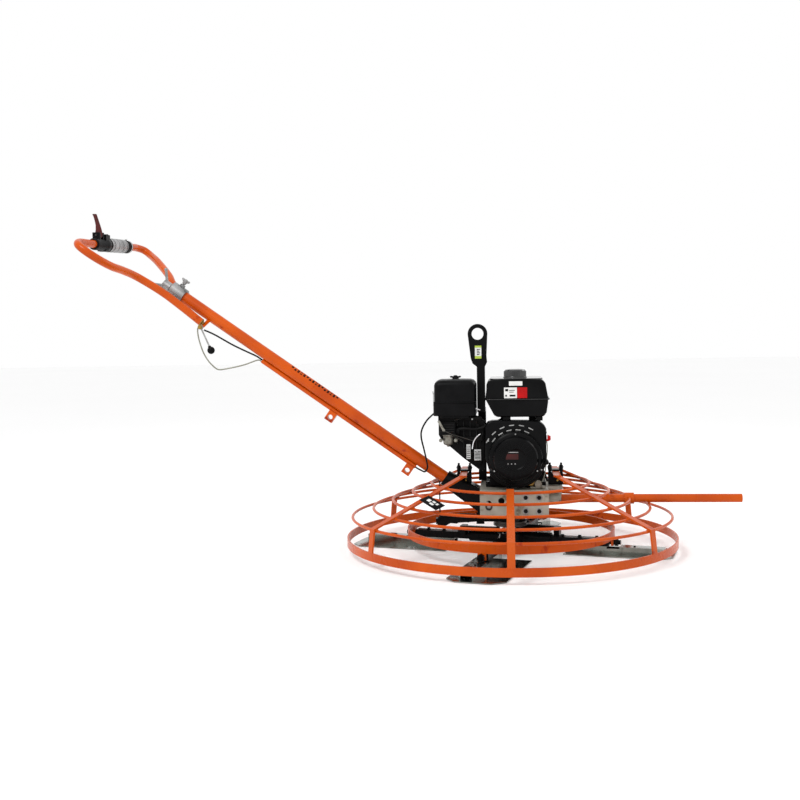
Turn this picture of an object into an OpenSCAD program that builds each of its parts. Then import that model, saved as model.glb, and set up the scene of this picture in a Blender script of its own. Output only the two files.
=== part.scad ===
// Walk-behind power trowel: a four-blade rotor in a guard of rings, a small petrol engine, and a tube handle.
// The origin is on the rotor axis at floor level. +X points away from the operator, +Y to the drive side
// of the engine, and +Z up. All sizes are in millimetres.

/* [Guard] */
// Outside diameter of the flat guard ring
guard_d = 1170; // [1160:5:1180]
// Height of the flat guard ring
guard_band_h = 28; // [24:1:32]
// Gap from the floor to the guard ring
guard_floor_gap = 25; // [20:1:30]
// Diameter of the round guard rods
rod_d = 10; // [8:1:11]
// Width of the flat spokes of the guard
spoke_w = 25; // [20:1:30]
// Thickness of the flat spokes of the guard
spoke_t = 6; // [5:1:7]

/* [Rotor] */
// Height of the arm axes above the floor
arm_z = 40; // [39:1:41]
// Distance from the rotor axis to the inner end of a blade
blade_start_r = 205; // [200:1:215]
// Distance from the rotor axis to the outer end of a blade
blade_end_r = 572; // [560:1:574]
// Width of a blade
blade_w = 196; // [180:2:200]
// Thickness of a blade
blade_t = 3; // [2:0.5:4]
// Distance of a blade's middle behind its arm
blade_trail = 30; // [24:1:34]
// Radius of the band that ties the arm ends together
band_r = 368; // [366:1:370]

/* [Handle] */
// Slope of the handle tube above the horizontal
handle_slope = 35.14; // [35:0.01:35.3]
// Outside diameter of the handle tube
handle_d = 42.4; // [41:0.2:42.4]
// Diameter of the handlebar tube
handlebar_d = 28; // [26:1:28]
// Diameter of the hand grip
grip_d = 50; // [44:1:52]

/* [Lifting] */
// Radius of the hole in the lifting eye
eye_hole_r = 21; // [18:1:22]
// Thickness of the lifting bail
bail_t = 10; // [8:1:12]
// Diameter of the front lifting tube
lift_tube_d = 30; // [28:1:30]
// Distance from the rotor axis to the end of the front lifting tube
lift_tube_end = 809; // [780:1:820]

/* [Hidden] */

$fn = 64;
// Running clearance on a radius, and the gap between neighbouring pieces
run = 0.05;
gap = 0.3;

// Colours
orange = [0.85, 0.35, 0.06];
black = [0.03, 0.03, 0.035];
zinc = [0.62, 0.62, 0.58];
steel = [0.55, 0.55, 0.56];

// Guard: the flat spokes bend at bend_r and rise inwards in a straight line
guard_r = guard_d / 2;
ring_t = 6;
ring_top = guard_floor_gap + guard_band_h;
bend_r = guard_r - 12;
bend_z = 129;
spoke_rise = 0.398;
spoke_angle = 37.8;
hoop_tip_r = 205;
side_spoke_top_r = 272;
// Radii of the rods, as distances in from the guard's edge; each rod is welded under the spokes
rod_insets = [21, 96, 166, 238, 306];
rod_drop = (rod_d + spoke_t) / 2 * sqrt(1 + spoke_rise * spoke_rise);
hoop_x = hoop_tip_r * cos(spoke_angle);
hoop_y = hoop_tip_r * sin(spoke_angle);
hoop_z = bend_z + (bend_r - hoop_tip_r) * spoke_rise;

// Base channel under the engine
base_top = 230;
base_t = 8;
base_back = -104;
base_front = 132;
base_nose = 184;
base_half_w = 150;
skirt_t = 6;
skirt_bottom = 140;
lift_tube_z = 179;
socket_r = 20;
clamp_w = 52;

// Gearbox: vertical output shaft, horizontal worm shaft along Y
worm_x = 70;
worm_z = 170;
worm_r = 15.4;
wheel_r = 54;
shaft_r = 17.5;
bearing_r = 31;
gearbox_r = 76;
gearbox_top = base_top - base_t;
cover_z = 122;
cover_t = 10;
drain = [-70, -20];

// Rotor
arm_start_angle = 255;
hub_r = 48;
hub_top = 56;
sleeve_r = 22;
sleeve_end = 150;
shank_r = 15;
arm_bar_w = 36;
arm_bar_h = 24;
arm_bar_end = 354;
arm_pin_r = 8;
finger_y = 38;
finger_top = 83.4;
band_z = 51;
band_h = 29.5;
band_t = 5;

// Pitch linkage: the wear plate drops by finger_y times the pitch angle
plate_z = 84;
plate_t = 8;
plate_r = 60;
collar_z = 93;
flange_r = 58;
yoke_x = -105;
yoke_z = 112;
yoke_end_x = -252;
yoke_pin_r = 6;

// Drive line of the engine
crank_x = 20;
crank_z = 342;
crank_r = 17.5;
stub_r = 12.5;
drum_r = 58;
pulley_r = 80;
belt_h = 10;
belt_w = 12;
belt_y = 188;

// Engine blocks
case_x = [-70, 112];
case_y = [-92, 95];
case_top = 430;
foot_t = 12;
cylinder_tilt = 25;
fan_r = 106;
fan_y = -150;
recoil_y = -200;
recoil_r = 92;
rope_z = 330;
rope_y = -172;
tank_x = [-78, 134];
tank_y = [-140, 95];
tank_seam_z = 542;
tank_bottom = 481;
tank_top = 613;
cap_x = 22;
cap_y = -25;
cap_z = 614;
cleaner_x = [-258, -114];
cleaner_y = [-150, 0];
cleaner_seam_z = 536;
cleaner_top = 612;

// Handle: its foot, and a point on it at a distance along, a distance sideways and a height above the axis
handle_foot = [-236, 0, 258];
handle_r = handle_d / 2;
handle_inner_r = 17.6;
collar_s = 1150;
wheel_s = 1212;
nut_s = 1012;
screw_r = 8;
conduit_r = 8;
conduit_n = -handle_r - conduit_r - 0.1;
conduit_s = [104, 782];
lever_s = 1024;
lever_n = -46;
function handle_point(s, y, n) = handle_foot + [
    -cos(handle_slope) * s + sin(handle_slope) * n,
    y,
    sin(handle_slope) * s + cos(handle_slope) * n
];

// Handlebar: the route of its middle line, from the operator's right end round to the left end
cross_right = [-1456, -270, 1102];
cross_left = [-1450, 270, 1130];
function crossbar(y) =
    cross_right + (cross_left - cross_right) * (y - cross_right.y) / (cross_left.y - cross_right.y);
handlebar_route = [
    [-1106, -35, 828], [-1172, -46, 884], [-1238, -59, 937], [-1313, -99, 990], [-1339, -174, 1010],
    [-1356, -250, 1022], [-1390, -310, 1050], [-1434, -318, 1084], cross_right, crossbar(-180),
    crossbar(-60), crossbar(60), crossbar(180), crossbar(255), cross_left, [-1430, 310, 1122],
    [-1396, 296, 1098], [-1345, 225, 1066], [-1273, 125, 1009], [-1240, 72, 972], [-1205, 50, 945],
    [-1180, 47, 926]
];

// Control cables: the throttle cable, the stop wire and the engine cable. The first two lie one above
// the other inside the conduit's upper mouth, and the third comes in at its lower mouth.
throttle_route = [
    [-1091, -51, 799], [-1070, -48, 790], [-1048, -42, 778], [-1020, -32, 760], [-990, -18, 741],
    handle_point(850, -6, conduit_n - 4), handle_point(812, -1, conduit_n + 2),
    handle_point(792, 0, conduit_n + 2.9), handle_point(772, 0, conduit_n + 2.9)
];
stop_route = [
    [-1118, -36, 808], [-1119, -36, 790], [-1113, -36, 757], [-1099, -36, 716], [-1080, -35, 684],
    [-1056, -33, 660], [-1042, -32, 655], [-1022, -28, 657], [-985, -16, 664],
    handle_point(824, -5, conduit_n - 44), handle_point(802, -1, conduit_n - 13),
    handle_point(792, 0, conduit_n - 3.8), handle_point(784, 0, conduit_n - 3.3),
    handle_point(772, 0, conduit_n - 3.3)
];
engine_route = [
    [-265, -60, 490], [-290, -60, 466], [-308, -60, 434], [-311, -58, 405], [-303, -52, 365],
    [-295, -46, 325], [-292, -40, 296], [-302, -30, 280], [-318, -12, 283],
    handle_point(98, 0, conduit_n - 1), handle_point(108, 0, conduit_n), handle_point(120, 0, conduit_n)
];
cable_d = 6;

function unit(v) = v / norm(v);
// The unit vector a quarter turn to the left of a flat one
function side_of(v) = unit([-v.y, v.x]);
function polar(r, angle, z) = [r * cos(angle), r * sin(angle), z];
function spoke_point(r, angle) = polar(r, angle, bend_z + (bend_r - r) * spoke_rise);

// A point on a smooth curve through four points, between the second and the third
function curve_point(a, b, c, d, t) =
    0.5 * (2 * b + (c - a) * t + (2 * a - 5 * b + 4 * c - d) * t * t + (3 * b - a - 3 * c + d) * t * t * t);

function smooth(points, steps) = let (last = len(points) - 1) concat(
    [for (i = [0:last - 1]) for (k = [0:steps - 1])
        curve_point(points[max(i - 1, 0)], points[i], points[i + 1], points[min(i + 2, last)], k / steps)],
    [points[last]]
);

// A round tube along a path; the side vector is never parallel to the path
module swept_tube(path, diameter, side, sides = 10) {
    last = len(path) - 1;
    points = [for (i = [0:last])
        let (ahead = unit(path[min(i + 1, last)] - path[max(i - 1, 0)]),
             across = unit(cross(ahead, side)),
             over = cross(across, ahead))
        for (k = [0:sides - 1])
            path[i] + diameter / 2 * (cos(360 * k / sides) * across + sin(360 * k / sides) * over)];
    walls = [for (i = [0:last - 1]) for (k = [0:sides - 1])
        let (here = i * sides + k, beside = i * sides + (k + 1) % sides)
        each [[here, beside, beside + sides], [here, beside + sides, here + sides]]];
    start_cap = [for (k = [sides - 1:-1:0]) k];
    end_cap = [for (k = [0:sides - 1]) last * sides + k];
    polyhedron(points = points, faces = concat([start_cap], walls, [end_cap]), convexity = 10);
}

// Turns the children's +Z to point from one place to another
module aim(from, to) {
    way = to - from;
    translate(from) rotate([0, acos(way.z / norm(way)), atan2(way.y, way.x)]) children();
}

module flat_bar(from, to, width, thickness) {
    aim(from, to)
        translate([-thickness / 2, -width / 2, 0])
            cube([thickness, width, norm(to - from)]);
}

module round_bar(from, to, r) {
    aim(from, to) cylinder(r = r, h = norm(to - from));
}

module box(low, high) {
    translate(low) cube(high - low);
}

// A cylinder along +Y
module y_cylinder(x, z, y0, y1, r) {
    translate([x, y1, z]) rotate([90, 0, 0]) cylinder(r = r, h = y1 - y0);
}

module ring(r_out, r_in, h) {
    difference() {
        cylinder(r = r_out, h = h);
        translate([0, 0, -1]) cylinder(r = r_in, h = h + 2);
    }
}

module hex_head(r, h) {
    cylinder(r = r, h = h, $fn = 6);
}

// Places children on the handle: local Z runs up the tube, local X away from the floor
module on_handle(s) {
    translate(handle_point(s, 0, 0)) rotate([0, handle_slope - 90, 0]) children();
}

// Places children on an arm: local X runs outwards, local Y towards the trailing edge
module on_arm(i) {
    rotate([0, 0, arm_start_angle + 90 * (i - 1)]) translate([0, 0, arm_z]) children();
}

// ---------------------------------------------------------------- guard

module guard_ring() {
    color(orange)
        translate([0, 0, guard_floor_gap])
            ring(guard_r, guard_r - ring_t, guard_band_h, $fn = 180);
}

module rod_ring(r, z) {
    rotate_extrude($fn = 144) translate([r, z]) circle(d = rod_d, $fn = 16);
}

// The rod at the height of the lifting tube is cut, and its two ends meet a separate guide sleeve
module guard_rods() {
    sleeve_x = guard_r - rod_insets[2];
    peg_x = guard_r - rod_insets[1];
    color(orange) {
        for (inset = rod_insets)
            difference() {
                rod_ring(guard_r - inset, spoke_point(guard_r - inset, 0).z - rod_drop);
                translate([0, 0, lift_tube_z]) rotate([0, 90, 0]) cylinder(r = socket_r + 0.1, h = guard_r);
            }
        translate([sleeve_x - 17, 0, lift_tube_z]) rotate([0, 90, 0])
            ring(socket_r, lift_tube_d / 2 + gap, 34);
        translate([peg_x, 0, lift_tube_z - lift_tube_d / 2 - gap - 8]) cylinder(r = 5, h = 8);
    }
}

// One flat bar, bent once: its foot stands on the guard ring and its top is at top_r
module guard_spoke(angle, top_r) {
    half = spoke_t / 2;
    foot = [guard_r - ring_t / 2, ring_top];
    bend = [bend_r, bend_z];
    top = [top_r, bend_z + (bend_r - top_r) * spoke_rise];
    upright_side = side_of(bend - foot);
    rising_side = side_of(top - bend);
    mitre = (upright_side + rising_side) / (1 + upright_side * rising_side) * half;
    rotate([0, 0, angle]) rotate([90, 0, 0]) translate([0, 0, -spoke_w / 2])
        linear_extrude(spoke_w) polygon([
            foot + [half, 0], foot - [half, 0], bend + mitre, top + rising_side * half,
            top - rising_side * half, bend - mitre
        ]);
}

// One side's pair of spokes and the bar that joins their tips
module hoop(turn) {
    rotate([0, 0, turn]) {
        for (side = [-1, 1])
            guard_spoke(side * spoke_angle, hoop_tip_r);
        flat_bar([hoop_x, -hoop_y - 8, hoop_z], [hoop_x, hoop_y + 8, hoop_z], spoke_w, spoke_t);
    }
}

module guard_spokes() {
    color(orange) {
        for (angle = [90, 270])
            guard_spoke(angle, side_spoke_top_r);
        hoop(0);
        hoop(180);
    }
}

// ---------------------------------------------------------------- base and gearbox

// Holes in the side plates, as [x, z, radius]: two large ones, then the four for the gearbox bolts
base_holes = [[-73, 185, 9], [-30, 192, 11]];
base_bolts = [[53, 204], [99, 204], [53, 157], [99, 157]];

module engine_base() {
    color(zinc) difference() {
        union() {
            box([base_back, -base_half_w, gearbox_top], [base_front, base_half_w, base_top]);
            box([base_front, -60, gearbox_top], [base_nose, 60, base_top]);
            for (side = [0, 1]) mirror([0, side, 0])
                box([base_back, -base_half_w, skirt_bottom],
                    [base_front, skirt_t - base_half_w, gearbox_top + 1]);
            box([base_back, -60, skirt_bottom], [base_back + skirt_t, 60, gearbox_top + 1]);
            box([base_front - skirt_t, -60, skirt_bottom + 10], [base_front, 60, gearbox_top + 1]);
            translate([base_front - 1, 0, lift_tube_z]) rotate([0, 90, 0]) cylinder(r = socket_r, h = 50);
            box([base_front - 1, -4, lift_tube_z + 15], [base_nose, 4, gearbox_top + 1]);
        }
        for (hole = base_holes)
            y_cylinder(hole[0], hole[1], -base_half_w - 1, base_half_w + 1, hole[2]);
        for (hole = base_bolts)
            y_cylinder(hole[0], hole[1], -base_half_w - 1, base_half_w + 1, 4.3);
        y_cylinder(worm_x, worm_z, 0, base_half_w + 1, 26);
        translate([base_front - skirt_t - 1, 0, lift_tube_z]) rotate([0, 90, 0])
            cylinder(r = lift_tube_d / 2 + gap, h = 70);
    }
}

module gearbox_housing() {
    wall = 9;
    color(black) difference() {
        union() {
            translate([0, 0, cover_z + cover_t + gap]) cylinder(r = gearbox_r, h = 84);
            box([20, -84, 138], [108, 84, 202]);
            box([-80, -84, gearbox_top - 8], [112, 84, gearbox_top]);
        }
        translate([0, 0, cover_z]) cylinder(r = gearbox_r - wall, h = 73);
        cylinder(r = bearing_r, h = 212);
        y_cylinder(worm_x, worm_z, -70, 70, 22);
        y_cylinder(worm_x, worm_z, -85, 85, 20);
    }
}

module gearbox_cover() {
    color(black) difference() {
        union() {
            translate([0, 0, cover_z]) cylinder(r = gearbox_r, h = cover_t);
            translate([0, 0, cover_z]) cylinder(r = 40, h = 26);
            translate([drain.x, drain.y, cover_z]) cylinder(r = 17, h = cover_t);
        }
        translate([0, 0, cover_z - 1]) cylinder(r = shaft_r + 0.5, h = 40);
        translate([0, 0, cover_z + cover_t]) cylinder(r = bearing_r, h = 40);
        translate([drain.x, drain.y, cover_z - 1]) cylinder(r = 6, h = 20);
    }
}

module bearings() {
    color(steel) {
        for (z = [cover_z + cover_t, 196])
            translate([0, 0, z]) ring(bearing_r, shaft_r + run, 16);
        for (side = [-1, 1])
            translate([worm_x, side * 77 + 7, worm_z]) rotate([90, 0, 0]) ring(20, 12 + run, 14);
    }
}

// The brass drain plug under the gearbox, and the engine's dipstick
module oil_plugs() {
    color([0.75, 0.52, 0.2]) translate([drain.x, drain.y, cover_z - 20]) {
        hex_head(13, 19.8);
        translate([0, 0, 19]) cylinder(r = 5.9, h = 9);
    }
    color([0.5, 0.45, 0.35]) translate([72, case_y[0] - 12, 252]) rotate([-90, 0, 0]) {
        hex_head(14, 11.8);
    }
}

module worm_shaft() {
    color(steel) {
        y_cylinder(worm_x, worm_z, -84, 204, 12);
        y_cylinder(worm_x, worm_z, -38, 38, worm_r);
    }
}

module grooved_pulley(x, z, r, half_w, bore) {
    color(steel) translate([x, belt_y, z]) rotate([90, 0, 0])
        rotate_extrude() polygon([
            [bore, -half_w], [r, -half_w], [r, -half_w + 3], [r - belt_h - 2.6, -belt_w / 2 - 0.6],
            [r - belt_h - 2.6, belt_w / 2 + 0.6], [r, half_w - 3], [r, half_w], [bore, half_w]
        ]);
}

module input_pulley() {
    grooved_pulley(worm_x, worm_z, pulley_r, 12, 12 + run);
}

module clutch_drum() {
    grooved_pulley(crank_x, crank_z, drum_r, 15, stub_r + run);
}

// The belt's inner face clears the groove floors, and its outer face is just inside the flanges
module belt_loop(inset) {
    hull() {
        translate([worm_x, worm_z]) circle(r = pulley_r - inset);
        translate([crank_x, crank_z]) circle(r = drum_r - inset);
    }
}

module drive_belt() {
    color(black) translate([0, belt_y + belt_w / 2, 0]) rotate([90, 0, 0])
        linear_extrude(belt_w) difference() {
            belt_loop(1.8);
            belt_loop(1.8 + belt_h);
        }
}

// A sheet cover round both pulleys, open towards the engine; its bottom clears the turning arms' fingers
module belt_guard() {
    wall = 3;
    margin = 8;
    color(black) {
        difference() {
            translate([0, 222, 0]) rotate([90, 0, 0]) linear_extrude(56) belt_loop(-margin);
            translate([0, 222 - wall, 0]) rotate([90, 0, 0]) linear_extrude(56) belt_loop(wall - margin);
        }
        y_cylinder(42, 267, case_y[1] + 0.1, 222 - wall + 0.5, 7);
    }
}

// ---------------------------------------------------------------- rotor

module output_shaft() {
    color(steel) translate([0, 0, 24]) cylinder(r = shaft_r, h = 187);
}

module worm_wheel() {
    color([0.72, 0.53, 0.25]) translate([0, 0, worm_z - 15]) ring(wheel_r, shaft_r + run, 30);
}

module spider() {
    color(black) difference() {
        union() {
            translate([0, 0, 20]) cylinder(r = hub_r, h = hub_top - 20);
            for (i = [1:4]) on_arm(i) rotate([0, 90, 0]) cylinder(r = sleeve_r, h = sleeve_end);
        }
        cylinder(r = shaft_r + run, h = 100);
        for (i = [1:4]) on_arm(i) translate([50, 0, 0]) rotate([0, 90, 0])
            cylinder(r = shank_r + run, h = sleeve_end);
    }
}

// The orange band that ties the arm ends together, with a bored tab over each arm's end pin
module stabilizer_ring() {
    tab_w = 28;
    color(orange) difference() {
        union() {
            translate([0, 0, band_z]) ring(band_r, band_r - band_t, band_h, $fn = 144);
            for (i = [1:4]) on_arm(i)
                translate([band_r - band_t - 2, -tab_w / 2, -11]) cube([8, tab_w, band_z - arm_z + 21]);
        }
        for (i = [1:4]) on_arm(i) translate([band_r - 20, 0, 0]) rotate([0, 90, 0])
            cylinder(r = arm_pin_r + run, h = 40);
    }
}

// One arm: shank, bar, end pin with its nut, and the L-shaped finger that reaches in under the wear plate
module arm(i) {
    finger_w = 14;
    color(black) on_arm(i) {
        rotate([0, 90, 0]) translate([0, 0, 54]) cylinder(r = shank_r, h = 110);
        translate([sleeve_end + 1, -arm_bar_w / 2, -arm_bar_h / 2])
            cube([arm_bar_end - sleeve_end - 1, arm_bar_w, arm_bar_h]);
        rotate([0, 90, 0]) translate([0, 0, arm_bar_end - 1]) cylinder(r = arm_pin_r, h = 40);
        rotate([0, 90, 0]) translate([0, 0, band_r + 4]) hex_head(13, 12);
        translate([sleeve_end + 5, 10, 6]) cube([20, finger_y - 10 + finger_w / 2, 34]);
        translate([30, finger_y - finger_w / 2, 28]) cube([sleeve_end - 10, finger_w, 12]);
        translate([36, finger_y, 39]) cylinder(r = 5, h = finger_top - arm_z - 39);
    }
}

// One blade: a clipped plate and the channel that carries it under the arm, cut down where the band's tab is
module blade(i) {
    clip = 38;
    length = blade_end_r - blade_start_r;
    under = blade_t - arm_z;
    notch_start = band_r - 20;
    notch_length = 44;
    color(steel) on_arm(i) {
        translate([0, blade_trail, -arm_z]) linear_extrude(blade_t) polygon([
            [blade_start_r, -blade_w / 2], [blade_end_r - clip, -blade_w / 2],
            [blade_end_r, -blade_w / 2 + clip], [blade_end_r, blade_w / 2 - clip],
            [blade_end_r - clip, blade_w / 2], [blade_start_r, blade_w / 2]
        ]);
        translate([blade_start_r, 0, 0]) difference() {
            translate([0, -24, under]) cube([length - 30, 48, arm_z - blade_t - arm_bar_h / 2 - 0.1]);
            translate([-1, -19, under]) cube([length, 38, arm_z - blade_t - arm_bar_h / 2 - 5]);
            translate([notch_start - blade_start_r, -25, -20]) cube([notch_length, 50, 40]);
        }
    }
}

module thrust_collar() {
    color(steel) difference() {
        translate([0, 0, collar_z]) {
            cylinder(r = flange_r, h = 8);
            cylinder(r = 33, h = 20);
        }
        cylinder(r = shaft_r + 0.08, h = 200);
    }
}

module wear_plate() {
    color(steel) translate([0, 0, plate_z]) ring(plate_r, shaft_r + 0.08, plate_t);
}

// The fork lever: pads on the collar's flange, a cross pin in the bracket's lugs, and a tail for the cable
module yoke() {
    tail_z = 98;
    color(black) difference() {
        union() {
            for (side = [-1, 1]) {
                translate([-100, side * 46 - 7, 104]) cube([112, 14, 11]);
                translate([-6, side * 46 - 7, 101.5]) cube([12, 14, 6]);
            }
            translate([yoke_x - 12, -53, 102]) cube([24, 106, 19]);
            y_cylinder(yoke_x, yoke_z, -66, 66, yoke_pin_r);
            flat_bar([yoke_x, 0, 108], [yoke_end_x - 14, 0, tail_z], 30, 20);
        }
        translate([yoke_end_x, 0, 60]) cylinder(r = 5.5, h = 80);
    }
}

// ---------------------------------------------------------------- engine

module crankcase() {
    color(black) difference() {
        union() {
            box([case_x[0], case_y[0], base_top + foot_t - 1], [case_x[1], case_y[1], case_top]);
            box([case_x[0] - 14, -70, base_top], [case_x[1] + 14, case_y[1], base_top + foot_t]);
            for (x = [-30, 70])
                box([x, -40, case_top - 1], [x + 35, 40, tank_bottom - gap]);
        }
        box([case_x[0] + 9, case_y[0] + 10, base_top + 20], [case_x[1] - 9, case_y[1] - 10, case_top - 10]);
        y_cylinder(crank_x, crank_z, case_y[0] - 1, case_y[1] + 1, crank_r + run);
    }
}

// Finned cylinder, head and valve cover, leaning up and back from the crankcase
module cylinder_block() {
    fin_half = 42;
    color(black) difference() {
        translate([crank_x, 0, crank_z]) rotate([0, 180 + cylinder_tilt, 0]) {
            translate([60, -34, -34]) cube([110, 68, 68]);
            for (k = [0:6])
                translate([100 + 11 * k, -fin_half - 6, -fin_half])
                    cube([4, 2 * fin_half + 12, 2 * fin_half]);
            translate([176, -fin_half - 6, -fin_half]) cube([34, 2 * fin_half + 12, 2 * fin_half]);
            translate([210, -40, -34]) cube([28, 80, 68]);
        }
        translate([case_x[0] - 0.1, -200, 200]) cube([300, 400, 400]);
    }
}

// The fan cover: a round shroud with a shoulder that leads the air to the cylinder
module fan_profile(inset) {
    difference() {
        union() {
            translate([crank_x, crank_z]) circle(r = fan_r - inset);
            polygon([
                [-84 + inset, 470 - inset], [-84 + inset, crank_z], [crank_x, 250 + inset],
                [126 - inset, crank_z], [126 - inset, 440 - inset], [100 - inset, 466 - inset],
                [-60, 470 - inset]
            ]);
        }
        translate([-200, 200]) square([500, 238 - 200 + inset]);
    }
}

module fan_cover() {
    wall = 4;
    color(black) difference() {
        translate([0, case_y[0] - 0.2, 0]) rotate([90, 0, 0])
            linear_extrude(case_y[0] - fan_y) fan_profile(0);
        translate([0, case_y[0] + 1, 0]) rotate([90, 0, 0])
            linear_extrude(case_y[0] - fan_y - wall) fan_profile(wall);
        y_cylinder(crank_x, crank_z, fan_y - 5, fan_y + 10, 74);
        y_cylinder(72, 252, fan_y - 5, 0, 15);
    }
}

module recoil_cover() {
    wall = 4;
    color(black) difference() {
        union() {
            y_cylinder(crank_x, crank_z, fan_y - 32, fan_y - gap, recoil_r);
            y_cylinder(crank_x, crank_z, recoil_y, fan_y - gap, recoil_r - 16);
        }
        y_cylinder(crank_x, crank_z, fan_y - 32 + wall, fan_y, recoil_r - wall);
        y_cylinder(crank_x, crank_z, recoil_y + wall, fan_y, recoil_r - 16 - wall);
        translate([crank_x, rope_y, rope_z]) rotate([0, 90, 0]) cylinder(r = 4, h = 200);
        for (k = [0:6])
            translate([crank_x, recoil_y - 1, crank_z]) rotate([0, -30 - 20 * k, 0])
                translate([44, 0, -3]) cube([24, 12, 6]);
    }
}

module recoil_grip() {
    grip_x = crank_x + recoil_r + 11;
    color(black) {
        translate([grip_x, rope_y - 22, rope_z]) rotate([-90, 0, 0]) cylinder(r = 9, h = 40);
        translate([-20, rope_y, rope_z]) rotate([0, 90, 0]) cylinder(r = 2.5, h = grip_x + 20);
    }
}

module crankshaft() {
    color(steel) {
        y_cylinder(crank_x, crank_z, -100, case_y[1] + 20, crank_r);
        y_cylinder(crank_x, crank_z, case_y[1] + 19, 208, stub_r);
        y_cylinder(crank_x, crank_z, -22, 22, 46);
        y_cylinder(crank_x, crank_z, -138, -99, 78);
    }
}

module tank_profile(inset) {
    polygon([
        [tank_x[0] + inset, tank_top - 40], [tank_x[0] + inset, tank_top - 10 - inset],
        [tank_x[0] + 16, tank_top - inset], [tank_x[1] - 22, tank_top - inset],
        [tank_x[1] - 4 - inset, tank_top - 16 - inset], [tank_x[1] - inset, tank_seam_z + 6],
        [tank_x[1] - 8 - inset, tank_bottom + 10 + inset], [tank_x[1] - 24, tank_bottom + inset],
        [tank_x[0] + 38, tank_bottom + inset]
    ]);
}

module fuel_tank() {
    wall = 2.5;
    neck_r = 26;
    color(black) difference() {
        union() {
            translate([0, tank_y[1], 0]) rotate([90, 0, 0])
                linear_extrude(tank_y[1] - tank_y[0]) tank_profile(0);
            box([tank_x[0] + 4, tank_y[0] - 5, tank_seam_z - 3],
                [tank_x[1] + 5, tank_y[1] + 5, tank_seam_z + 3]);
            translate([cap_x, cap_y, tank_top - 6]) cylinder(r = neck_r, h = cap_z - tank_top + 18);
        }
        translate([0, tank_y[1] - wall, 0]) rotate([90, 0, 0])
            linear_extrude(tank_y[1] - tank_y[0] - 2 * wall) tank_profile(wall);
        translate([cap_x, cap_y, tank_top - 11]) cylinder(r = neck_r - 3, h = 60);
    }
}

module fuel_cap() {
    cap_r = 38;
    color(black) translate([cap_x, cap_y, cap_z]) difference() {
        union() {
            cylinder(r = cap_r - 2, h = 29);
            for (k = [0:17])
                rotate([0, 0, 20 * k]) translate([cap_r - 3, 0, 4]) cylinder(r = 3, h = 22, $fn = 16);
        }
        translate([0, 0, -1]) cylinder(r = 26 + run, h = 14);
    }
}

module air_cleaner_base() {
    color(black) difference() {
        box([cleaner_x[0] - 4, cleaner_y[0], 485], [cleaner_x[1], cleaner_y[1], cleaner_seam_z - 0.2]);
        box([cleaner_x[0] + 2, cleaner_y[0] + 6, 491],
            [cleaner_x[1] - 6, cleaner_y[1] - 6, cleaner_seam_z + 1]);
        translate([-210, -105, 480]) cylinder(r = 15, h = 20);
    }
}

module air_cleaner_cover() {
    corner = 16;
    mid = [(cleaner_x[0] + cleaner_x[1]) / 2, (cleaner_y[0] + cleaner_y[1]) / 2];
    color(black) {
        difference() {
            hull() {
                box([cleaner_x[0], cleaner_y[0], cleaner_seam_z],
                    [cleaner_x[1], cleaner_y[1], cleaner_top - corner]);
                box([cleaner_x[0] + corner, cleaner_y[0] + corner, cleaner_seam_z],
                    [cleaner_x[1] - corner, cleaner_y[1] - corner, cleaner_top]);
            }
            box([cleaner_x[0] + 4, cleaner_y[0] + 4, cleaner_seam_z - 1],
                [cleaner_x[1] - 4, cleaner_y[1] - 4, cleaner_top - corner - 4]);
        }
        translate([mid.x, mid.y, cleaner_top - 0.5]) {
            cylinder(r = 9, h = 14);
            translate([-19, -4, 4]) cube([38, 8, 7]);
        }
    }
}

// The carburettor, and the control casting that fills the corner between it, the cylinder and the crankcase
module carburetor() {
    color(steel) {
        box([-236, -132, 404], [-186, -84, 452]);
        translate([-210, -105, 450]) cylinder(r = 14, h = 40);
        translate([-211, -108, 376]) cylinder(r = 18, h = 29);
        translate([0, -78, 0]) rotate([90, 0, 0]) linear_extrude(26) polygon([
            [-246, 484], [-246, 418], [-238, 404], [-206, 376], [-160, 336], [-104, 294], [-88, 290],
            [-88, 466], [-112, 484]
        ]);
        box([-149, -119, 335], [-135, -103, 386]);
        box([-122, -119, 330], [-99, -103, 368]);
    }
}

module choke_lever() {
    color(steel) {
        y_cylinder(-226, 438, -146, -132.3, 5);
        flat_bar([-226, -142, 438], [-244, -142, 470], 4, 8);
    }
}

module muffler() {
    color([0.2, 0.19, 0.18]) difference() {
        box([-252, 14, 492], [-124, 150, 596]);
        box([-248, 18, 496], [-128, 146, 592]);
        translate([-253, 110, 560]) rotate([0, 90, 0]) cylinder(r = 12, h = 10);
    }
}

module engine_switch() {
    color([0.75, 0.08, 0.1])
        translate([case_x[1] + 14 + 0.2, -140, 408]) rotate([0, 90, 0]) cylinder(r = 11, h = 14);
}

// Hexagon bolts: eight through the side plates, four on the hoop clamps, four on the engine's feet
module bolts() {
    color([0.12, 0.12, 0.13]) {
        for (side = [0, 1]) mirror([0, side, 0])
            for (hole = base_bolts)
                translate([hole[0], -base_half_w - 0.1, hole[1]]) rotate([90, 0, 0]) hex_head(7.5, 5.5);
        for (side = [-1, 1]) for (across = [-1, 1])
            translate([side * hoop_x + across * 20, 0, hoop_z + spoke_t / 2 + 6.2]) hex_head(7.5, 6);
        for (x = [case_x[0] - 7, case_x[1] + 7]) for (y = [-58, 82])
            translate([x, y, base_top + foot_t + 0.1]) hex_head(6, 6);
    }
}

// ---------------------------------------------------------------- lifting

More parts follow.
